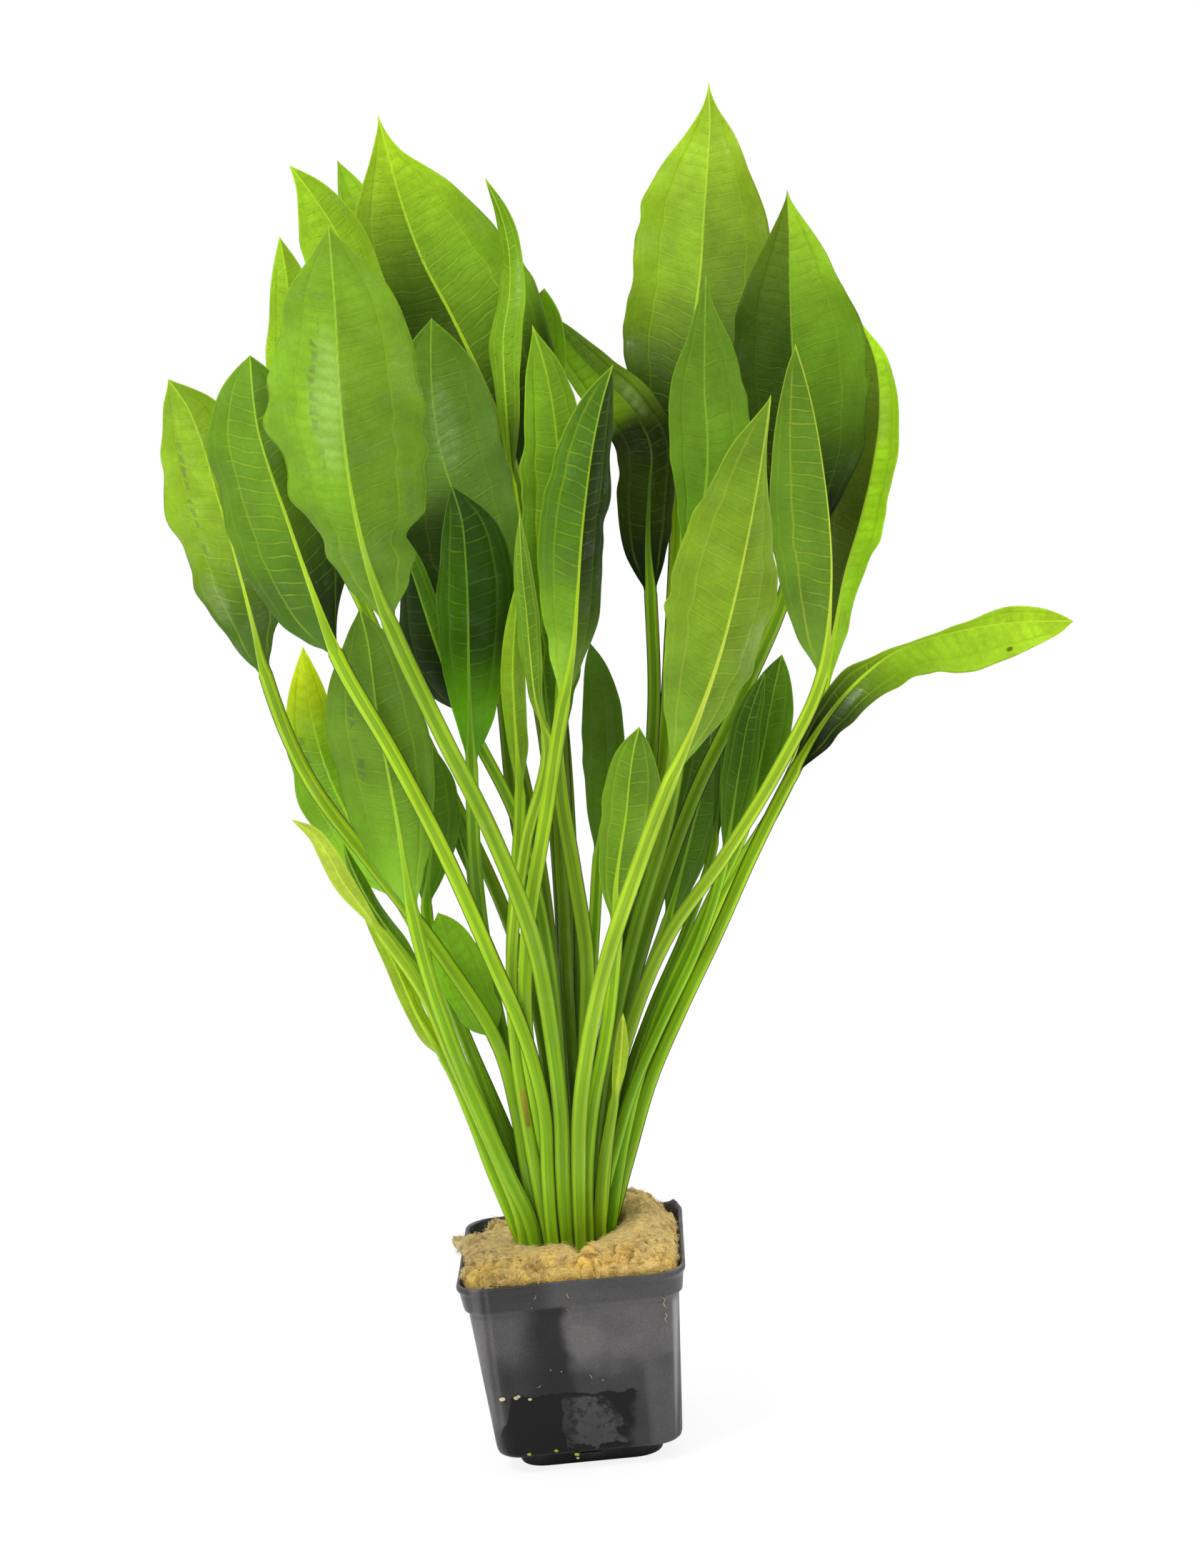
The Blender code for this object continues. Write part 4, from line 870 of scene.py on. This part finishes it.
def pot_profiles():
    """Widths and heights down the pot's outside from the rim, and up its inside."""
    def about(width, height, *offsets):
        return [(width + w, height + h) for w, h in offsets]

    outside = about(POT_WIDTH, POT_HEIGHT, (-2.6, -0.5), (-1.9, -0.1), (-0.9, 0), (0, -0.2), (0.5, -0.7),
                    (0.6, -1.3), (0.3, -1.9), (-0.5, -2.5), (-1.1, -3), (-1.4, -4))
    outside += about(POT_WIDTH, BAND_FOOT, (-2.8, 1), (-3.1, 0.4), (-3.8, 0.05), (-4.9, -0.1))
    outside += about(BODY_TOP_WIDTH, BAND_FOOT, (0.1, -0.5), (-0.1, -1.2))
    outside += [(body_width(h), h) for h in (55.0, 47.0, 39.0, 31.0, 23.0, 15.0, 10.5)]
    outside += about(BODY_BOTTOM_WIDTH, FOOT_HEIGHT, (0.1, 1.8), (-0.5, 0.7), (-1.6, 0.1), (-3, 0))
    outside += about(FOOT_WIDTH, FOOT_HEIGHT, (2.2, 0), (1.2, -0.5))
    outside += about(FOOT_WIDTH, 0.0, (0.2, 1), (-0.4, 0.3), (-1.6, 0))
    wall = 2 * POT_WALL
    inside = about(FOOT_WIDTH, POT_WALL, (-12, 0), (-wall, 0.3), (1 - wall, FOOT_HEIGHT))
    inside += [(BODY_BOTTOM_WIDTH - 2 - wall, FOOT_HEIGHT + POT_WALL)]
    inside += [(body_width(h) - wall, h) for h in (10.5, 23.0, 39.0, 55.0, BAND_FOOT)]
    inside += [(POT_WIDTH - 3.4 - wall, BAND_FOOT + 1.4), (POT_WIDTH - 1.6 - wall, POT_HEIGHT - 3)]
    return outside, inside


def build_pot():
    outside, inside = pot_profiles()
    rings = [rounded_square(width, POT_CORNER, height) for width, height in outside]
    rings.append(rounded_square(UNDER_WIDTH, UNDER_CORNER, 0.0))
    rings += [rounded_square(width, POT_CORNER - POT_WALL, height) for width, height in inside]
    points = np.array(rings).reshape(-1, 3)
    # the rim is a little wavy, and its back right corner is pulled up to a point
    angle = np.arctan2(points[:, 1], points[:, 0])
    wavy = 0.22 * np.sin(3 * angle + 1.0) + 0.15 * np.sin(7 * angle)
    points[:, 2] += ease(points[:, 2], 66.0, 71.5) * wavy
    corner = np.array((POT_WIDTH / 2 - 1.5, POT_WIDTH / 2 - 2.0))
    pulled = np.exp(-((points[:, :2] - corner) ** 2).sum(axis=1) / 2.4 ** 2)
    points[:, 2] += 2.2 * pulled * ease(points[:, 2], 68.0, 72.0)

    # the skin is closed at the rim and by a disk under and in the foot
    size, foot = len(rings[0]), len(outside)
    around_rim = loop_faces(len(rings), size)
    faces = np.delete(around_rim.reshape(-1, size, 4), foot, axis=0).reshape(-1, 4).tolist()
    first, last = np.arange(size), np.arange(size) + (len(rings) - 1) * size
    faces += np.stack((last, first, np.roll(first, -1), np.roll(last, -1)), axis=1).tolist()
    under = np.arange(foot * size, (foot + 1) * size)
    faces += [under.tolist(), (under + size)[::-1].tolist()]
    pot = add_mesh("pot_shell", points, faces, pot_material(), "pot")
    cut_drain(pot)
    pot.data.shade_smooth()
    pot.data.set_sharp_from_angle(angle=math.radians(40))


def cut_drain(pot):
    """Cuts two slots that cross under the pot's foot."""
    for number, (wide, deep) in enumerate(((DRAIN_WIDTH, DRAIN_LENGTH), (DRAIN_LENGTH, DRAIN_WIDTH))):
        slot = bpy.data.meshes.new(f"drain_{number}")
        bm = bmesh.new()
        middle = Matrix.Translation((0, 0, (DRAIN_TOP + DRAIN_BOTTOM) / 2 * MM))
        size = Matrix.Diagonal((wide * MM, deep * MM, (DRAIN_TOP - DRAIN_BOTTOM) * MM, 1))
        bmesh.ops.create_cube(bm, size=1.0, matrix=middle @ size)
        bm.to_mesh(slot)
        bm.free()
        cutter = add_object(f"drain_{number}", slot)
        cut = pot.modifiers.new("drain", "BOOLEAN")
        cut.object, cut.operation, cut.solver = cutter, "DIFFERENCE", "EXACT"
        bpy.context.view_layer.update()
        evaluated = pot.evaluated_get(bpy.context.evaluated_depsgraph_get())
        mesh = bpy.data.meshes.new_from_object(evaluated)
        pot.modifiers.clear()
        pot.data = mesh
        bpy.data.objects.remove(cutter, do_unlink=True)


def pot_material():
    """Black plastic with a grey bloom of dust and of painted reflections and highlights, and a black wet
    film on the lower part of the front.
    """
    paint = Paint("pot")
    x, y, z = paint.place_mm()
    front = y.ramp(-29, -32)
    ragged = paint.noise(7, 4, 0.6) - 0.5
    smear, drift = paint.noise(16, 3), paint.noise(14, 3) - 0.5

    film = (z + x * 0.05 + ragged * 5.0).ramp(30, 29.3)
    film = film * (x + (z - 20.0) * -0.3 + ragged * 6.0).ramp(-29, -28)
    film = film * (x - z * 0.2 + ragged * 9.0).ramp(15.5, 11)
    patch = (x + ragged * 6.0).ramp(-8, -7.4) * (x + z * 0.45 + ragged * 20.0).ramp(20.5, 17)
    patch = patch * (z + ragged * 12.0).ramp(9, 9.8) * (z + ragged * 3.0).ramp(28.8, 27.6)
    patch = patch * paint.noise(3.4, 4, 0.65).ramp(0.38, 0.5, 0.4, 1)
    film = film * front * patch.rest()

    # The grey bloom is partly dust and smears and partly painted light: the lighter panels right and left
    # of the middle and the lighter strips by the corners are painted reflections, and the round spot is a
    # painted highlight.
    across, raised = x + drift * 9.0 - z * 0.06, z + drift * 16.0
    right = across.ramp(-8, -3) * raised.ramp(33, 46, 0.2, 0.78)
    left = across.ramp(-14, -26) * raised.ramp(36, 52, 0.1, 0.5)
    sides = x.ramp(19, 24) * 0.5 + x.ramp(-25, -31) * 0.4
    highlight_x, highlight_z = -1.0, 49.0
    off_x, off_z = (across - highlight_x) / 9.0, (z - highlight_z) / 8.0
    highlight_spot = (off_x * off_x + off_z * off_z).ramp(1, 0.05)
    # painted highlights: light streaks down the left corner
    streaks = x.line(-33.5, 1.2) * 0.5 + x.line(-29.5, 0.5) * 0.25
    band = z.ramp(62, 64)
    bloom = (right.most(left).most(sides) + highlight_spot * 0.2 + 0.1) * band.rest() + streaks
    bloom = bloom + band * (x.ramp(-12, -4) * 0.25 + x.ramp(-30, -36) * 0.15 + 0.28)
    bloom = bloom * front + smear * 0.5 * front.rest() + patch * front * 0.1
    bloom = bloom * smear.ramp(0.25, 0.75, 0.8, 1.15)
    # painted highlight: a lighter grey line down the right corner
    gleam = (x - (z - BAND_FOOT) * 0.075).line(35.7, 0.7) * z.ramp(BAND_FOOT, BAND_FOOT - 4)

    grain = paint.noise(0.35, 2, 0.6)
    speck = paint.noise(0.5, 1, 0.7).ramp(0.74, 0.8)
    bloom = bloom.math("MINIMUM", 1.0)
    grey = paint.mix(bloom, (0.006, 0.006, 0.008), (0.12, 0.115, 0.115))
    grey = paint.shade(grey, grain.ramp(0.3, 0.7, 0.75, 1.25))
    # the painted highlight on the right corner
    grey = paint.mix(gleam * front * 0.8, grey, (0.3, 0.29, 0.28))
    colour = paint.mix(speck * 0.3, grey, (0.16, 0.15, 0.13))
    colour = paint.mix(film * 0.96, colour, (0.003, 0.003, 0.004))
    rough = paint.noise(9, 3).ramp(0.25, 0.75, 0.27, 0.4) - film * 0.16
    height = grain * 0.008 * (film * -0.8 + 1.0) + smear * 0.25 + film * 0.05
    return paint.finish(paint.principled(Base_Color=colour, Roughness=rough, IOR=1.4,
                                         Specular_IOR_Level=0.25, Normal=paint.bump(height)))


# What sticks to the pot's front, where the photograph's pixels show it: crumbs of wool and bits of
# floating weed as (u, v, size in mm, tone), and the paths of fine threads.
WOOL, WEED, THREAD = 0.0, 0.5, 1.0
CRUMBS = ((703, 1960, 1.1, WOOL), (723, 1958, 1.0, WOOL), (726, 1956, 0.7, WOOL),
          (742, 1960, 0.7, WOOL), (741, 2037, 0.8, WEED), (779, 2032, 0.75, WEED),
          (808, 2037, 0.9, WEED), (809, 2042, 0.6, WOOL), (844, 1933, 0.25, WOOL),
          (771, 1919, 0.25, WOOL), (786, 1921, 0.25, WOOL))
THREADS = (((928, 1817), (931, 1820), (929, 1825), (932, 1831)),
           ((931, 1839), (934, 1843), (931, 1846), (933, 1851)),
           ((746, 1811), (750, 1815), (748, 1820)), ((793, 1809), (794, 1814), (797, 1818)),
           ((744, 1831), (746, 1835)), ((794, 1832), (797, 1837)),
           ((750, 1943), (754, 1943), (757, 1940)), ((826, 1925), (829, 1930)))
THREAD_RADIUS, THREAD_LIFT = 0.16, 0.25
LUMP_LOOPS, LUMP_CORNERS, THREAD_CORNERS = 5, 7, 4


def on_front(u, v):
    """The point on the pot's front face that is seen at a pixel of the photograph."""
    depth = -BODY_TOP_WIDTH / 2
    for _ in range(4):
        point = to_space(u, v, depth)
        width = POT_WIDTH - 2.2 if point[2] > BAND_FOOT else body_width(max(point[2], FOOT_HEIGHT))
        depth = -width / 2
    return point


def build_crumbs():
    """Lumpy balls and bent threads, each one closed loops that are joined and closed at both ends."""
    draw = np.random.default_rng(9)
    lift = (math.pi * np.arange(LUMP_LOOPS) / (LUMP_LOOPS - 1))[:, None]
    turn = 2 * math.pi * np.arange(LUMP_CORNERS) / LUMP_CORNERS
    ball = np.stack((np.sin(lift) * np.cos(turn), -0.45 * np.cos(lift) + 0 * turn,
                     0.7 * np.sin(lift) * np.sin(turn)), axis=2)
    turn = 2 * math.pi * np.arange(THREAD_CORNERS) / THREAD_CORNERS
    circle = THREAD_RADIUS * np.stack((np.cos(turn), np.sin(turn), 0 * turn), axis=1)
    bits = [(on_front(u, v) + size * ball * draw.uniform(0.75, 1.2, (*ball.shape[:2], 1)), tone)
            for u, v, size, tone in CRUMBS]
    for pixels in THREADS:
        path = np.array([on_front(u, v) - (0, THREAD_LIFT, 0) for u, v in pixels])
        at = np.linspace(0, len(path) - 1, 4 * len(path))
        bits.append((smooth_rows(np.arange(len(path)), path, at)[:, None] + circle, THREAD))
    points, faces, tones = [], [], []
    for loops, tone in bits:
        rows, corners = loops.shape[:2]
        first, last = len(points), len(points) + (rows - 1) * corners
        points.extend(loops.reshape(-1, 3))
        tones += [tone] * (rows * corners)
        faces += loop_faces(rows, corners, first).tolist()
        faces += [tuple(range(first + corners - 1, first - 1, -1)), tuple(range(last, last + corners))]
    crumbs = add_mesh("pot_crumbs", points, faces, crumb_material())
    set_numbers(crumbs, "crumb_tone", tones)


def crumb_material():
    paint = Paint("crumb")
    tone = Field(paint.tree, paint.attribute("crumb_tone", "Fac"))
    mottle = paint.noise(0.6)
    colour = paint.ramp(tone, (0.2, linear((214, 200, 160))), (0.5, linear((140, 172, 26))),
                        (0.8, linear((176, 150, 110))))
    colour = paint.shade(colour, mottle.ramp(0.3, 0.7, 0.7, 1.15))
    return paint.finish(paint.principled(Base_Color=colour, Roughness=0.5,
                                         Normal=paint.bump(mottle * 0.2)))


# ---- rock wool ----

def square_radius(angle, width, corner):
    blend = 2.0 + 10.0 * (1.0 - corner / (width / 2))
    c, s = abs(np.cos(angle)), abs(np.sin(angle))
    return (width / 2) / (c ** blend + s ** blend) ** (1 / blend)


def wool_height(angle, reach):
    back_right = np.maximum(0.0, np.cos(angle - math.radians(50)))
    back_left = np.maximum(0.0, np.cos(angle - math.radians(135)))
    shoulder = WOOL_SHOULDER + WOOL_RISE * back_right ** 1.5 - WOOL_DIP * back_left ** 2
    fall = (shoulder - WOOL_RIM) * reach ** 2.2
    hollow = WOOL_HOLLOW * (0.6 + 0.5 * np.cos(angle)) * max(0.0, 1.0 - reach / 0.55) ** 1.5
    return shoulder - fall - hollow + 1.5 * np.sin(math.pi * np.clip(reach, 0, 1))


def noise_at(points, size, octaves, offset):
    """Fractal noise of about -1 to 1 at points in mm."""
    shift = Vector((offset, offset * 0.7, offset * 1.3))
    return np.array([noise.fractal(Vector(p) / size + shift, 1.0, 2.0, octaves) for p in points])


def stalk_reach(angle):
    """How far the stalks reach from the middle of the pot at each angle where they leave the wool."""
    spots = []
    for name in LOOKS:
        mesh = bpy.data.objects[f"leaf_{name}_blade"].data
        points = np.empty(3 * len(mesh.vertices))
        mesh.vertices.foreach_get("co", points)
        points = points.reshape(-1, 3) / MM
        spots.append(points[(points[:, 2] > POCKET_HEIGHTS[0]) & (points[:, 2] < POCKET_HEIGHTS[1])])
    spots = np.concatenate(spots)
    turn, far = np.arctan2(spots[:, 1], spots[:, 0]), np.hypot(spots[:, 0], spots[:, 1])
    near = np.cos(turn - angle[:, None]) > math.cos(POCKET_SIGHT)
    reach = np.where(near, far, POCKET_LEAST).max(axis=1)
    window = range(-POCKET_BLUR, POCKET_BLUR + 1)
    return sum(np.roll(reach, k) for k in window) / len(window) + POCKET_GAP


def build_wool():
    sides = 320
    angle = 2 * math.pi * np.arange(sides) / sides
    pocket = stalk_reach(angle)
    rim = square_radius(angle, POT_WIDTH - 4.6, POT_CORNER + 3)

    def ring(radius, height):
        return np.stack((radius * np.cos(angle), radius * np.sin(angle), height * np.ones(sides)), axis=1)

    lip = wool_height(angle, 0.0)
    rings = [ring(pocket * share, height) for share, height in
             ((0.5, 60.0), (0.8, 60.5), (0.9, 63.0), (0.93, 67.0), (0.96, 72.0), (0.98, lip - 2.5),
              (1.0, lip - 0.8))]
    for reach in np.linspace(0.04, 0.97, 34):
        radius = pocket * 1.02 + (rim - pocket * 1.02) * reach
        rings.append(ring(radius, wool_height(angle, reach)))
    for drop, inset in ((0.6, 0.15), (2.0, 0.0), (4.5, 0.3), (9.0, 1.2), (14.0, 2.2)):
        rings.append(ring(rim - inset, WOOL_RIM - drop))
    for width, corner, height in ((body_width(40.0) - 3.4, POT_CORNER + 3, 40.0),
                                  (body_width(12.0) - 3.4, POT_CORNER + 3, 12.0),
                                  (FOOT_WIDTH - 5.0, POT_CORNER, 8.4)):
        rings.append(ring(square_radius(angle, width, corner), height))
    points = tear_wool(np.concatenate(rings), to_space(*NOTCH, -pocket.mean()))
    faces = loop_faces(len(rings), sides).tolist()
    faces += [tuple(range(sides)), tuple(range(len(rings) * sides - 1, (len(rings) - 1) * sides - 1, -1))]
    wool = add_mesh("rock_wool_plug", points, faces, wool_material(), "rock_wool")
    build_fibres(wool.data)


def tear_wool(points, notch):
    """Roughens a smooth plug: lumps, a torn front edge, a notch in front of the stalks and tufts."""
    x, y, z = points.T
    radius, turn = np.hypot(x, y), np.arctan2(y, x)
    loose = ease(z, 60.0, 72.0)
    # a round plug: the two back corners of the pot are left open
    for corner, depth, wide in ((math.radians(42), 15.0, 0.9), (math.radians(139), 12.0, 0.92)):
        gap = ease(np.cos(turn - corner), wide, wide + 0.06) * ease(radius, 36.5, 40.5)
        points[:, 2] -= depth * gap * loose
    big = noise_at(points, 9.0, 3, 3.0)
    small = noise_at(points, 2.6, 4, 11.0)
    outward = np.stack((np.cos(turn), np.sin(turn), np.zeros(len(turn))), axis=1)
    up = ease(z, 70.0, 75.0) * loose
    points[:, 2] += up * (1.5 * big + 0.6 * small)
    torn = abs(noise_at(points * (1, 1, 0.4), 4.2, 3, 23.0))
    front = ease(-y, -TORN_EDGE - 4.0, -TORN_EDGE + 6.0)
    points[:, 2] -= up * ease(radius, 29.0, 36.0) * (2.0 + 2.2 * front) * ease(0.16 - torn, 0.0, 0.16)
    flakes = noise_at(points * (1, 1, 0.35), 6.5, 3, 41.0)
    points[:, 2] += up * front * 2.4 * np.maximum(0.0, flakes) * ease(radius, 24.0, 32.0)
    points += outward * (loose * (0.5 * big + 0.5 * small) * ease(radius, 24.0, 28.0))[:, None]
    depth = np.exp(-((x - notch[0]) / 2.2) ** 2) * np.exp(-((y - notch[1] + 3.0) / 7.0) ** 2)
    points[:, 2] -= 6.0 * depth * up

    def about(place, size):
        return np.exp(-((points[:, :2] - place) ** 2).sum(axis=1) / size ** 2)

    # a tuft lies over the rim on the left, and another stands up by the back left corner
    for place, size, rise, push in (((-37.5, 4.5), 6.6, 2.4, 5.6), ((-30.0, 23.0), 3.0, 3.2, 0.0)):
        near = about(place, size) * ease(z, 70.5, 73.5)
        points[:, 2] += rise * near * (1 + 0.6 * small)
        points += outward * (push * near)[:, None]
    # but for that tuft, the wool stays inside the rim, and below the band inside the body
    rim = square_radius(turn, POT_WIDTH - 3.4, POT_CORNER + 2)
    limit = np.where(points[:, 2] < POT_HEIGHT + 0.6, rim, rim + 8.0 * about((-41.0, 3.5), 9.0) + 0.4)
    body = square_radius(turn, body_width(np.maximum(points[:, 2], FOOT_HEIGHT)) - 3.0, POT_CORNER)
    limit = np.where(points[:, 2] < BAND_FOOT + 2.5, np.minimum(limit, body), limit)
    radius = np.hypot(points[:, 0], points[:, 1])
    points[:, :2] *= np.minimum(1.0, limit / np.maximum(radius, 1e-6))[:, None]
    return points


def build_fibres(mesh):
    """Curved fibres all over the part of the wool that shows, and tufts along its torn edge."""
    draw = np.random.default_rng(5)
    centres = np.array([p.center for p in mesh.polygons]) / MM
    normals = np.array([p.normal for p in mesh.polygons])
    area = np.array([p.area for p in mesh.polygons])
    starts, headings, ups, sizes, tones = [], [], [], [], []

    def grow(number, chance, spread_mm, along_mm, rise, count, flat):
        for k in draw.choice(len(centres), number, p=chance / chance.sum()):
            lead = draw.normal(0, 1, 3) * (1.2, 1.0, flat)
            tone = draw.uniform()
            for _ in range(count):
                normal = normals[k]
                heading = lead + draw.normal(0, 0.25 if count > 1 else 0.0, 3)
                heading -= normal * (heading @ normal) * 0.85
                starts.append(centres[k] + draw.normal(0, spread_mm, 3))
                headings.append(heading / np.linalg.norm(heading))
                ups.append(normal * draw.uniform(*rise))
                sizes.append(draw.uniform(*along_mm))
                tones.append(0.7 * tone + 0.3 * draw.uniform())

    chance = np.where(centres[:, 2] > 69.0, area, 0.0)
    grow(FIBRES, chance, 0.3, (1.2, 4.2), (0.05, 0.4), 1, 0.6)
    edge = np.hypot(centres[:, 0], centres[:, 1]) > 30.0
    chance = np.where(edge & (centres[:, 2] > 71.0), area, 0.0)
    chance = chance * np.where(centres[:, 1] < TORN_EDGE, 3.0, 1.0)
    grow(TUFTS, chance, 0.45, (2.0, 5.5), (0.1, 1.3), TUFT_FIBRES, 0.5)

    share = np.linspace(0, 1, FIBRE_STEPS)[None, :, None]
    start, heading, up = (np.array(part)[:, None] for part in (starts, headings, ups))
    length = np.array(sizes)[:, None, None]
    curl = draw.normal(0, 0.5, start.shape)
    middle = (start + heading * length * (share - 0.5) + curl * share * (1 - share) * length * 0.5
              + up * np.sin(math.pi * share))
    side = unit(np.cross(heading, unit(up)))
    over = np.cross(side, heading)
    thick = draw.uniform(0.045, 0.095, (len(starts), 1, 1)) * (1 - 0.5 * abs(2 * share - 1))
    corners = 2 * math.pi * np.arange(FIBRE_SIDES) / FIBRE_SIDES
    points = np.stack([middle + thick * (math.cos(a) * side + math.sin(a) * over) for a in corners],
                      axis=2).reshape(-1, 3)
    per = FIBRE_STEPS * FIBRE_SIDES
    offsets = per * np.arange(len(starts))[:, None, None]
    quads = (loop_faces(FIBRE_STEPS, FIBRE_SIDES)[None] + offsets).reshape(-1, 4).tolist()
    ends = (np.array([[(0, 1, 2), (per - 1, per - 2, per - 3)]]) + offsets).reshape(-1, 3).tolist()
    fibres = add_mesh("rock_wool_fibres", points, quads + ends, fibre_material())
    set_numbers(fibres, "fibre_tone", np.repeat(tones, per))


def wool_colour(paint):
    x, y, z = paint.place_mm()
    patches, spots = paint.noise(9, 3), paint.noise(2.2, 3, 0.6)
    gold, tan = linear((228, 192, 98)), linear((208, 178, 106))
    brown, grey = linear((160, 128, 74)), linear((186, 164, 108))
    colour = paint.mix(patches.ramp(0.35, 0.65), gold, tan)
    colour = paint.mix(y.ramp(-34, -22) * 0.75, colour, grey)
    tuft = (x + z * 0.3).ramp(-14, -17)
    colour = paint.mix(tuft * 0.5, colour, linear((236, 218, 164)))
    # painted shade: darker on the left and lighter on the right, evening out the key light from the left
    colour = paint.shade(colour, x.ramp(-36, 10, 0.8, 1.08))
    return paint.mix(spots.ramp(0.58, 0.8) * 0.45, colour, brown), spots


def wool_material():
    paint = Paint("rock_wool")
    colour, spots = wool_colour(paint)
    weave = paint.noise(0.45, 3, 0.7, stretch=(3, 3, 1))
    colour = paint.shade(colour, weave.ramp(0.3, 0.7, 0.72, 1.08))
    return paint.finish(paint.principled(Base_Color=colour, Roughness=0.95, Specular_IOR_Level=0.2,
                                         Normal=paint.bump(weave * 0.4 + spots * 0.5)))


def fibre_material():
    paint = Paint("rock_wool_fibre")
    colour, _ = wool_colour(paint)
    tone = Field(paint.tree, paint.attribute("fibre_tone", "Fac"))
    colour = paint.mix(tone.ramp(0.45, 1) * 0.6, colour, linear((240, 226, 180)))
    colour = paint.shade(colour, tone.ramp(0, 0.4, 0.82, 1.1))
    return paint.finish(paint.principled(Base_Color=colour, Roughness=0.6))


def crown_material():
    paint = Paint("crown")
    streaks = paint.noise(1.2, 3, stretch=(1, 1, 6))
    colour = paint.ramp(streaks, (0.3, linear((96, 74, 34))), (0.7, linear((140, 132, 60))))
    return paint.finish(paint.principled(Base_Color=colour, Roughness=0.8,
                                         Normal=paint.bump(streaks * 0.5)))


# ---- stage and light ----

def build_stage():
    paint = Paint("floor")
    x, y, _ = paint.parts(paint.place)
    away = (x * x + y * y).math("SQRT")
    skin = paint.principled(Base_Color=(0.9, 0.9, 0.9), Roughness=0.9, Specular_IOR_Level=0.1)
    glow = paint.node("ShaderNodeEmission", Color=(1.0, 1.0, 1.0))
    ray = paint.node("ShaderNodeLightPath")
    seen = Field(paint.tree, ray.outputs["Is Camera Ray"]) * away.ramp(0.03, 0.22, 0.86, 1)
    mesh = bpy.data.meshes.new("floor")
    reach = 6.0
    mesh.from_pydata([(-reach, -reach, 0), (reach, -reach, 0), (reach, reach, 0), (-reach, reach, 0)],
                     [], [(0, 1, 2, 3)])
    mesh.materials.append(paint.finish(paint.mix_shaders(seen, skin, glow)))
    add_object("floor", mesh)


def build_world():
    """A soft white room that is brighter above, behind and on the left, and pure white to the camera."""
    paint = Paint("studio", "worlds")
    right, back, up = paint.parts(paint.place.node.outputs["Generated"])
    level = up.ramp(-0.1, 0.9, 0.24, 0.92) + back.ramp(-0.7, 0.9, -0.2, 0.38)
    level = level + (right * -1.0).ramp(-0.8, 0.9, -0.12, 0.18)
    white = paint.node("ShaderNodeBackground", Color=(1, 1, 1))
    room = paint.node("ShaderNodeBackground", Color=(1, 1, 1), Strength=level.most(0.1))
    ray = paint.node("ShaderNodeLightPath")
    mixed = paint.mix_shaders(ray.outputs["Is Camera Ray"], room, white)
    bpy.context.scene.world = paint.finish(mixed, "ShaderNodeOutputWorld")


def add_light(name, place, target, size, power):
    light = bpy.data.lights.new(name, "AREA")
    light.shape, light.size, light.energy = "DISK", size, power
    lamp = add_object(name, light)
    lamp.location = place
    direction = Vector(target) - Vector(place)
    lamp.rotation_euler = direction.to_track_quat("-Z", "Y").to_euler()


def build_light():
    build_world()
    add_light("key", (-0.9, -0.9, 1.9), (0, 0, 0.25), 0.7, 30.0)
    add_light("back", (0.5, 1.3, 1.5), (0, 0, 0.3), 1.2, 12.0)
    add_light("side", (1.4, -0.3, 1.0), (0, 0, 0.2), 0.8, 8.0)
    settings = bpy.context.scene.view_settings
    settings.view_transform, settings.look = "Standard", "None"
    settings.exposure, settings.gamma = 0.0, 1.0


# ---- the whole scene ----

build_camera()
build_stage()
build_light()
for number, (leaf_name, leaf_look) in enumerate(LOOKS.items()):
    build_leaf(leaf_name, leaf_look, 100 + number)
build_pot()
build_crumbs()
build_wool()
crown_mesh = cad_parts["crown"].data
crown_mesh.materials.clear()
crown_mesh.materials.append(crown_material())
